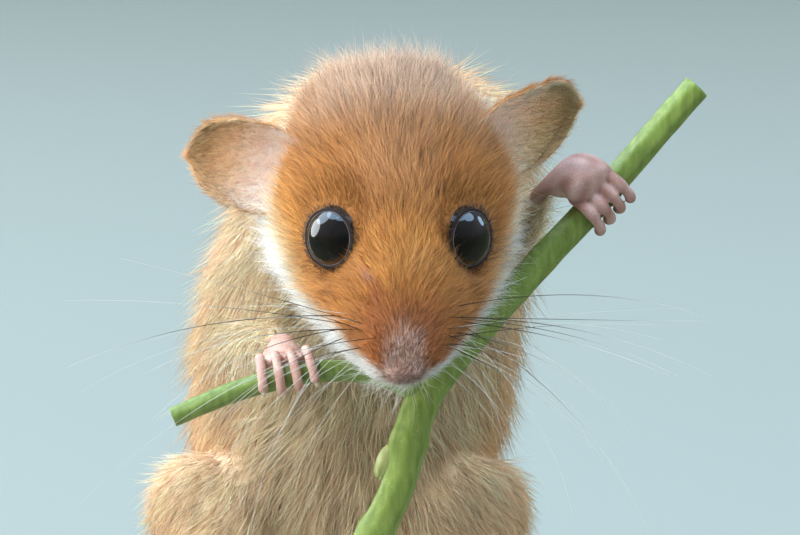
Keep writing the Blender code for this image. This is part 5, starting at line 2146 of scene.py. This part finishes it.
@dataclass
class Perch:
    """The cut green stem and its side shoot, ribbed along, with a swollen joint.

    Attributes:
        stem: Line and half widths of the stem.
        shoot: Line and half widths of the side shoot.
        bud: Place and half widths of the bud by the stem, in millimetres, and its lean in degrees.
        ribs: Number of fine ribs round the stem.
    """

    stem: Limb = Limb(
        (
            (-13.5, -45, 14), (-10.1, -37, 14), (-6.0, -28, 14), (-0.7, -19.2, 14), (2.2, -10.3, 14),
            (6.6, -4.9, 14.6), (11.6, 0.5, 15.8), (16.6, 5.8, 16.8), (21.1, 11.0, 17.4), (24.6, 15.0, 17.6),
        ),
        (1.5, 1.45, 1.4, 1.4, 1.45, 1.3, 1.22, 1.18, 1.15, 1.15),
        0.0,
    )
    shoot: Limb = Limb(
        (
            (2.2, -10.3, 14), (-1.2, -8.9, 13.4), (-5, -8.4, 12.9),
            (-9.2, -8.9, 12.5), (-14, -10.3, 12.2), (-18.5, -12.2, 12),
        ),
        (1.15, 0.95, 0.9, 0.9, 0.85, 0.8),
        0.0,
    )
    bud: tuple = ((-1.1, -15.9, 14), (0.8, 1.5, 0.8), 24)
    ribs: int = 7

    def tube(self, name: str, line: Limb, joints: tuple[float, ...], along: int, around: int) -> Piece:
        """A ribbed tube: ovals round the line whose radius carries waves round it and bells at its joints."""
        rings = Line(line.world()).tube(line.sizes(), along, around)
        share = np.linspace(0, 1, along)
        places = Line(line.world()).read(share)[0]
        turn = np.linspace(0, TURN, around, endpoint=False)
        swell = 0 * share + sum(0.16 * np.exp(-(((share - joint) / 0.012) ** 2)) for joint in joints)
        ribs = 0.022 * np.cos(self.ribs * turn[None, :] + 0.8 * np.sin(9 * share[:, None]))
        bumps = 0.02 * ripple(rings.points, 1.1 * MM, 41)
        scale = 1 + swell[:, None] + ribs + bumps
        rings.points = places[:, None] + (rings.points - places[:, None]) * scale[..., None]
        return rings.build(name)

    def finish(self, name: str, light: tuple, dark: tuple) -> Material:
        """Fresh green rind: paler and darker streaks, small pale pores and a soft gloss."""
        shader = Shader(
            name,
            {
                "Roughness": 0.42, "Subsurface Weight": 0.25, "Subsurface Radius": (0.4, 1.0, 0.2),
                "Subsurface Scale": 0.0008, "Specular IOR Level": 0.45,
            },
        )
        streak = shader.noise(0.5 * MM, 4, (1, 1, 6))
        pores = shader.cells(0.55 * MM)
        colour = shader.ramp(streak, [(0.30, dark), (0.68, light)])
        spots = shader.ramp(pores, [(0.0, (0.62, 0.66, 0.42)), (0.10, (0.62, 0.66, 0.42)), (0.16, (0, 0, 0))])
        shader.link(shader.toned(colour, spots, 0.12, "ADD"), "Base Color")
        shader.bump((streak, 0.35, 0.05 * MM), (pores, 0.2, 0.04 * MM))
        return shader.material

    def build_bud(self) -> Piece:
        """The small bud in the stem's side: an oval with overlapping scales as shallow ridges."""
        place, radii, lean = self.bud
        lean = math.radians(lean)
        upwards = math.sin(lean) * POSE.axes[0] + math.cos(lean) * POSE.axes[1]
        axes = np.array([np.cross(upwards, POSE.axes[2]), upwards, POSE.axes[2]])
        middle = POSE.place(place)
        rings = ball(middle, np.array(radii) * MM, axes, 60, 72)
        fall = np.linspace(0, 1, rings.points.shape[0])[:, None]
        turn = np.linspace(0, TURN, rings.points.shape[1], endpoint=False)[None, :]
        scales = 0.05 * np.abs(np.sin(1.5 * turn + 5 * fall)) + 0.03 * np.cos(6 * turn)
        rings.points = middle + (rings.points - middle) * (1 + scales)[..., None]
        return rings.build("bud_scales")

    def build(self) -> None:
        """Stem, bud and shoot."""
        stem = self.tube("stem_rind", self.stem, (0.36, 0.47), 260, 56)
        rind = self.finish("stem_green", (0.26, 0.34, 0.075), (0.15, 0.21, 0.040))
        dressed(stem, rind, "stem", "perch_stem")
        scales = self.finish("bud_green", (0.42, 0.42, 0.16), (0.24, 0.28, 0.09))
        dressed(self.build_bud(), scales, "stem")
        shoot = self.tube("shoot_rind", self.shoot, (), 110, 40)
        rind = self.finish("shoot_green", (0.24, 0.32, 0.08), (0.14, 0.20, 0.045))
        dressed(shoot, rind, "stem", "perch_shoot")


# Stand


@dataclass
class Stand:
    """Finishes of the display stand, whose own solids stay."""

    def wood(self) -> Material:
        """Pale turned wood with long grain, fine pores and a satin varnish."""
        shader = Shader("stand_wood", {"Roughness": 0.38, "Coat Weight": 0.25, "Coat Roughness": 0.2})
        grain = shader.noise(2.2 * MM, 5, (9, 1, 1))
        pores = shader.noise(0.35 * MM, 2, (14, 1, 1))
        stops = [(0.30, (0.30, 0.165, 0.075)), (0.55, (0.45, 0.28, 0.145)), (0.75, (0.56, 0.37, 0.21))]
        colour = shader.ramp(grain, stops)
        shade = shader.ramp(pores, [(0.35, (0.62, 0.55, 0.5)), (0.5, (1, 1, 1))])
        shader.link(shader.toned(colour, shade, 0.7), "Base Color")
        shader.bump((grain, 0.15, 0.1 * MM), (pores, 0.2, 0.05 * MM))
        return shader.material

    def steel(self) -> Material:
        """Brushed steel with fine rings round the rods."""
        bare = {"Base Color": (0.62, 0.62, 0.63, 1), "Metallic": 1.0, "Roughness": 0.28}
        shader = Shader("stand_steel", bare)
        brushed = shader.noise(0.12 * MM, 2, (12, 12, 1))
        shader.link(shader.levels(brushed, 0.2, 0.38), "Roughness")
        shader.bump((brushed, 0.15, 0.01 * MM))
        return shader.material

    def build(self) -> None:
        """Gives the stand's nodes their finishes."""
        wood, steel = self.wood(), self.steel()
        for name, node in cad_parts.items():
            if name.startswith("stand_"):
                node.data.materials.clear()
                node.data.materials.append(wood if name == "stand_base" else steel)
                log.info("%s: kept solid, new finish", name)


# Studio


def set_up(made: bpy.types.Object, axes: Array, place: Array) -> None:
    """Puts an object into the scene, turned to three axes."""
    turned = axes.T
    made.matrix_world = Matrix([[*turned[i], place[i]] for i in range(3)] + [[0, 0, 0, 1]])
    bpy.context.scene.collection.objects.link(made)


@dataclass(frozen=True)
class Lamp:
    """A flat soft light, placed in the pose's own frame in millimetres and aimed at the face.

    Attributes:
        name: Name of the light.
        place: Its middle.
        size: Width and height, in metres.
        power: In watts.
        colour: Linear red, green and blue.
        mirrored: Whether glossy things mirror it.
    """

    name: str
    place: Triple
    size: Pair
    power: float
    colour: Triple
    mirrored: bool = True

    def build(self) -> None:
        """Sets the light up."""
        data = bpy.data.lights.new(self.name, "AREA")
        data.shape = "ELLIPSE"
        data.size, data.size_y = self.size
        data.energy = self.power
        data.color = self.colour
        made = bpy.data.objects.new(self.name, data)
        made.visible_glossy = self.mirrored
        world = POSE.place(self.place)
        away = unit(world - POSE.place((0, 0, 10)))
        side = unit(np.cross(POSE.axes[1] + 0.01, away))
        set_up(made, np.array([side, np.cross(away, side), away]), world)


LAMPS = (
    Lamp("sky_left", (-880, 300, 320), (0.80, 0.62), 5.8, (0.92, 0.97, 1.0)),
    Lamp("sky_left_high", (-640, 700, 200), (0.84, 0.66), 5.4, (0.66, 0.82, 1.0)),
    Lamp("sky_high", (-340, 910, -60), (0.80, 0.56), 4.2, (0.50, 0.74, 1.0)),
    Lamp("sky_front", (60, 880, -440), (0.74, 0.34), 1.9, (0.42, 0.68, 1.0)),
    Lamp("sky_right", (520, 840, -60), (0.70, 0.50), 3.2, (0.42, 0.68, 1.0)),
    Lamp("sky_right_low", (750, 470, 470), (0.40, 0.30), 1.2, (0.46, 0.70, 1.0)),
    Lamp("window_high", (-90, 790, -700), (1.90, 0.42), 5.4, (0.72, 0.87, 1.0), mirrored=False),
    Lamp("window_left", (-700, 650, -560), (0.95, 0.55), 12.4, (0.86, 0.93, 1.0), mirrored=False),
    Lamp("window_right", (574, 867, -359), (0.55, 0.26), 2.2, (0.66, 0.82, 1.0), mirrored=False),
    Lamp("fill", (900, 260, -700), (0.9, 0.9), 2.0, (1.0, 0.96, 0.90), mirrored=False),
    Lamp("fill_left", (-900, 0, -600), (0.9, 0.9), 5.0, (1.0, 0.95, 0.88), mirrored=False),
    Lamp("rim_left", (-700, 560, 640), (0.6, 0.6), 1.2, (1.0, 0.97, 0.90), mirrored=False),
    Lamp("rim_right", (620, 760, 620), (0.6, 0.6), 3.2, (1.0, 0.98, 0.93), mirrored=False),
)


@dataclass
class Studio:
    """Camera at the photograph's angle, plain pale floor and soft light from above.

    Attributes:
        distance: From the middle of the face to the camera.
        lens: Focal length in millimetres on a 36 mm frame.
        floor_size: Half width of the floor.
    """

    distance: float = 0.27
    lens: float = 155.8
    floor_size: float = 4.0

    def camera(self) -> None:
        """The camera, on the line of sight through the middle of the face."""
        data = bpy.data.cameras.new("camera")
        data.sensor_width = 36
        data.lens = self.lens
        data.clip_start = 0.005
        made = bpy.data.objects.new("camera", data)
        across, up, back = POSE.axes
        set_up(made, np.array([across, up, -back]), POSE.place((0, 0, 0)) - back * self.distance)
        bpy.context.scene.camera = made

    def floor(self) -> None:
        """The floor, a wide pale plane."""
        size = self.floor_size
        points = np.array([(-size, -size, 0), (size, -size, 0), (size, size, 0), (-size, size, 0)])
        made = new_object("floor", points, np.array([(0, 1, 2, 3)]))
        matt = {"Base Color": (0.27, 0.30, 0.27, 1), "Roughness": 0.9, "Specular IOR Level": 0.2}
        shader = Shader("floor_pale", matt)
        made.data.materials.append(shader.material)
        made.visible_glossy = False

    def build(self) -> None:
        """Camera, floor, lights and the pale surroundings."""
        self.camera()
        self.floor()
        for lamp in LAMPS:
            lamp.build()
        self.surroundings()

    def surroundings(self) -> None:
        """Pale light from all round, paler towards the horizon and dimmer behind the viewer."""
        world = bpy.data.worlds.new("surroundings")
        world.use_nodes = True
        tree = world.node_tree
        way = wired(tree, "TexCoord", "Object", {})
        level = wired(tree, "SeparateXYZ", "Z", {"Vector": way})
        colour = ramped(tree, level, [(0.0, (0.30, 0.38, 0.26)), (0.35, (0.86, 0.92, 1.0))])
        depth = wired(tree, "VectorMath", "Value", {0: way, 1: POSE.axes[2]}, operation="DOT_PRODUCT")
        limits = {"From Min": -1.0, "From Max": 0.1, "To Min": 0.28}
        shade = wired(tree, "MapRange", "Result", {**limits, "Value": depth})
        inputs = {"Factor": 1.0, "A": colour, "B": shade}
        whole = wired(tree, "Mix", "Result", inputs, data_type="RGBA", blend_type="MULTIPLY")
        sky = tree.nodes["Background"]
        tree.links.new(whole, sky.inputs["Color"])
        sky.inputs["Strength"].default_value = 0.36
        bpy.context.scene.world = world
        bpy.context.scene.view_settings.view_transform = "Standard"


def main() -> None:
    """Builds the animal, its perch and the stand, in order, and lights them."""
    logging.basicConfig(level=logging.INFO, format="%(message)s")
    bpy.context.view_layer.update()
    Studio().build()
    hair, down = HairFinish().make(), SkinFinish().make()
    body = Skin()
    skin = dressed(body.build(), down, "coat", *body.nodes)
    for piece in Coat().build(skin):
        dressed(piece, hair, "coat")
    Eyes().build(hair)
    Ears().build(hair)
    Whiskers().build()
    Feet().build()
    Perch().build()
    Stand().build()


if __name__ == "__main__":
    main()
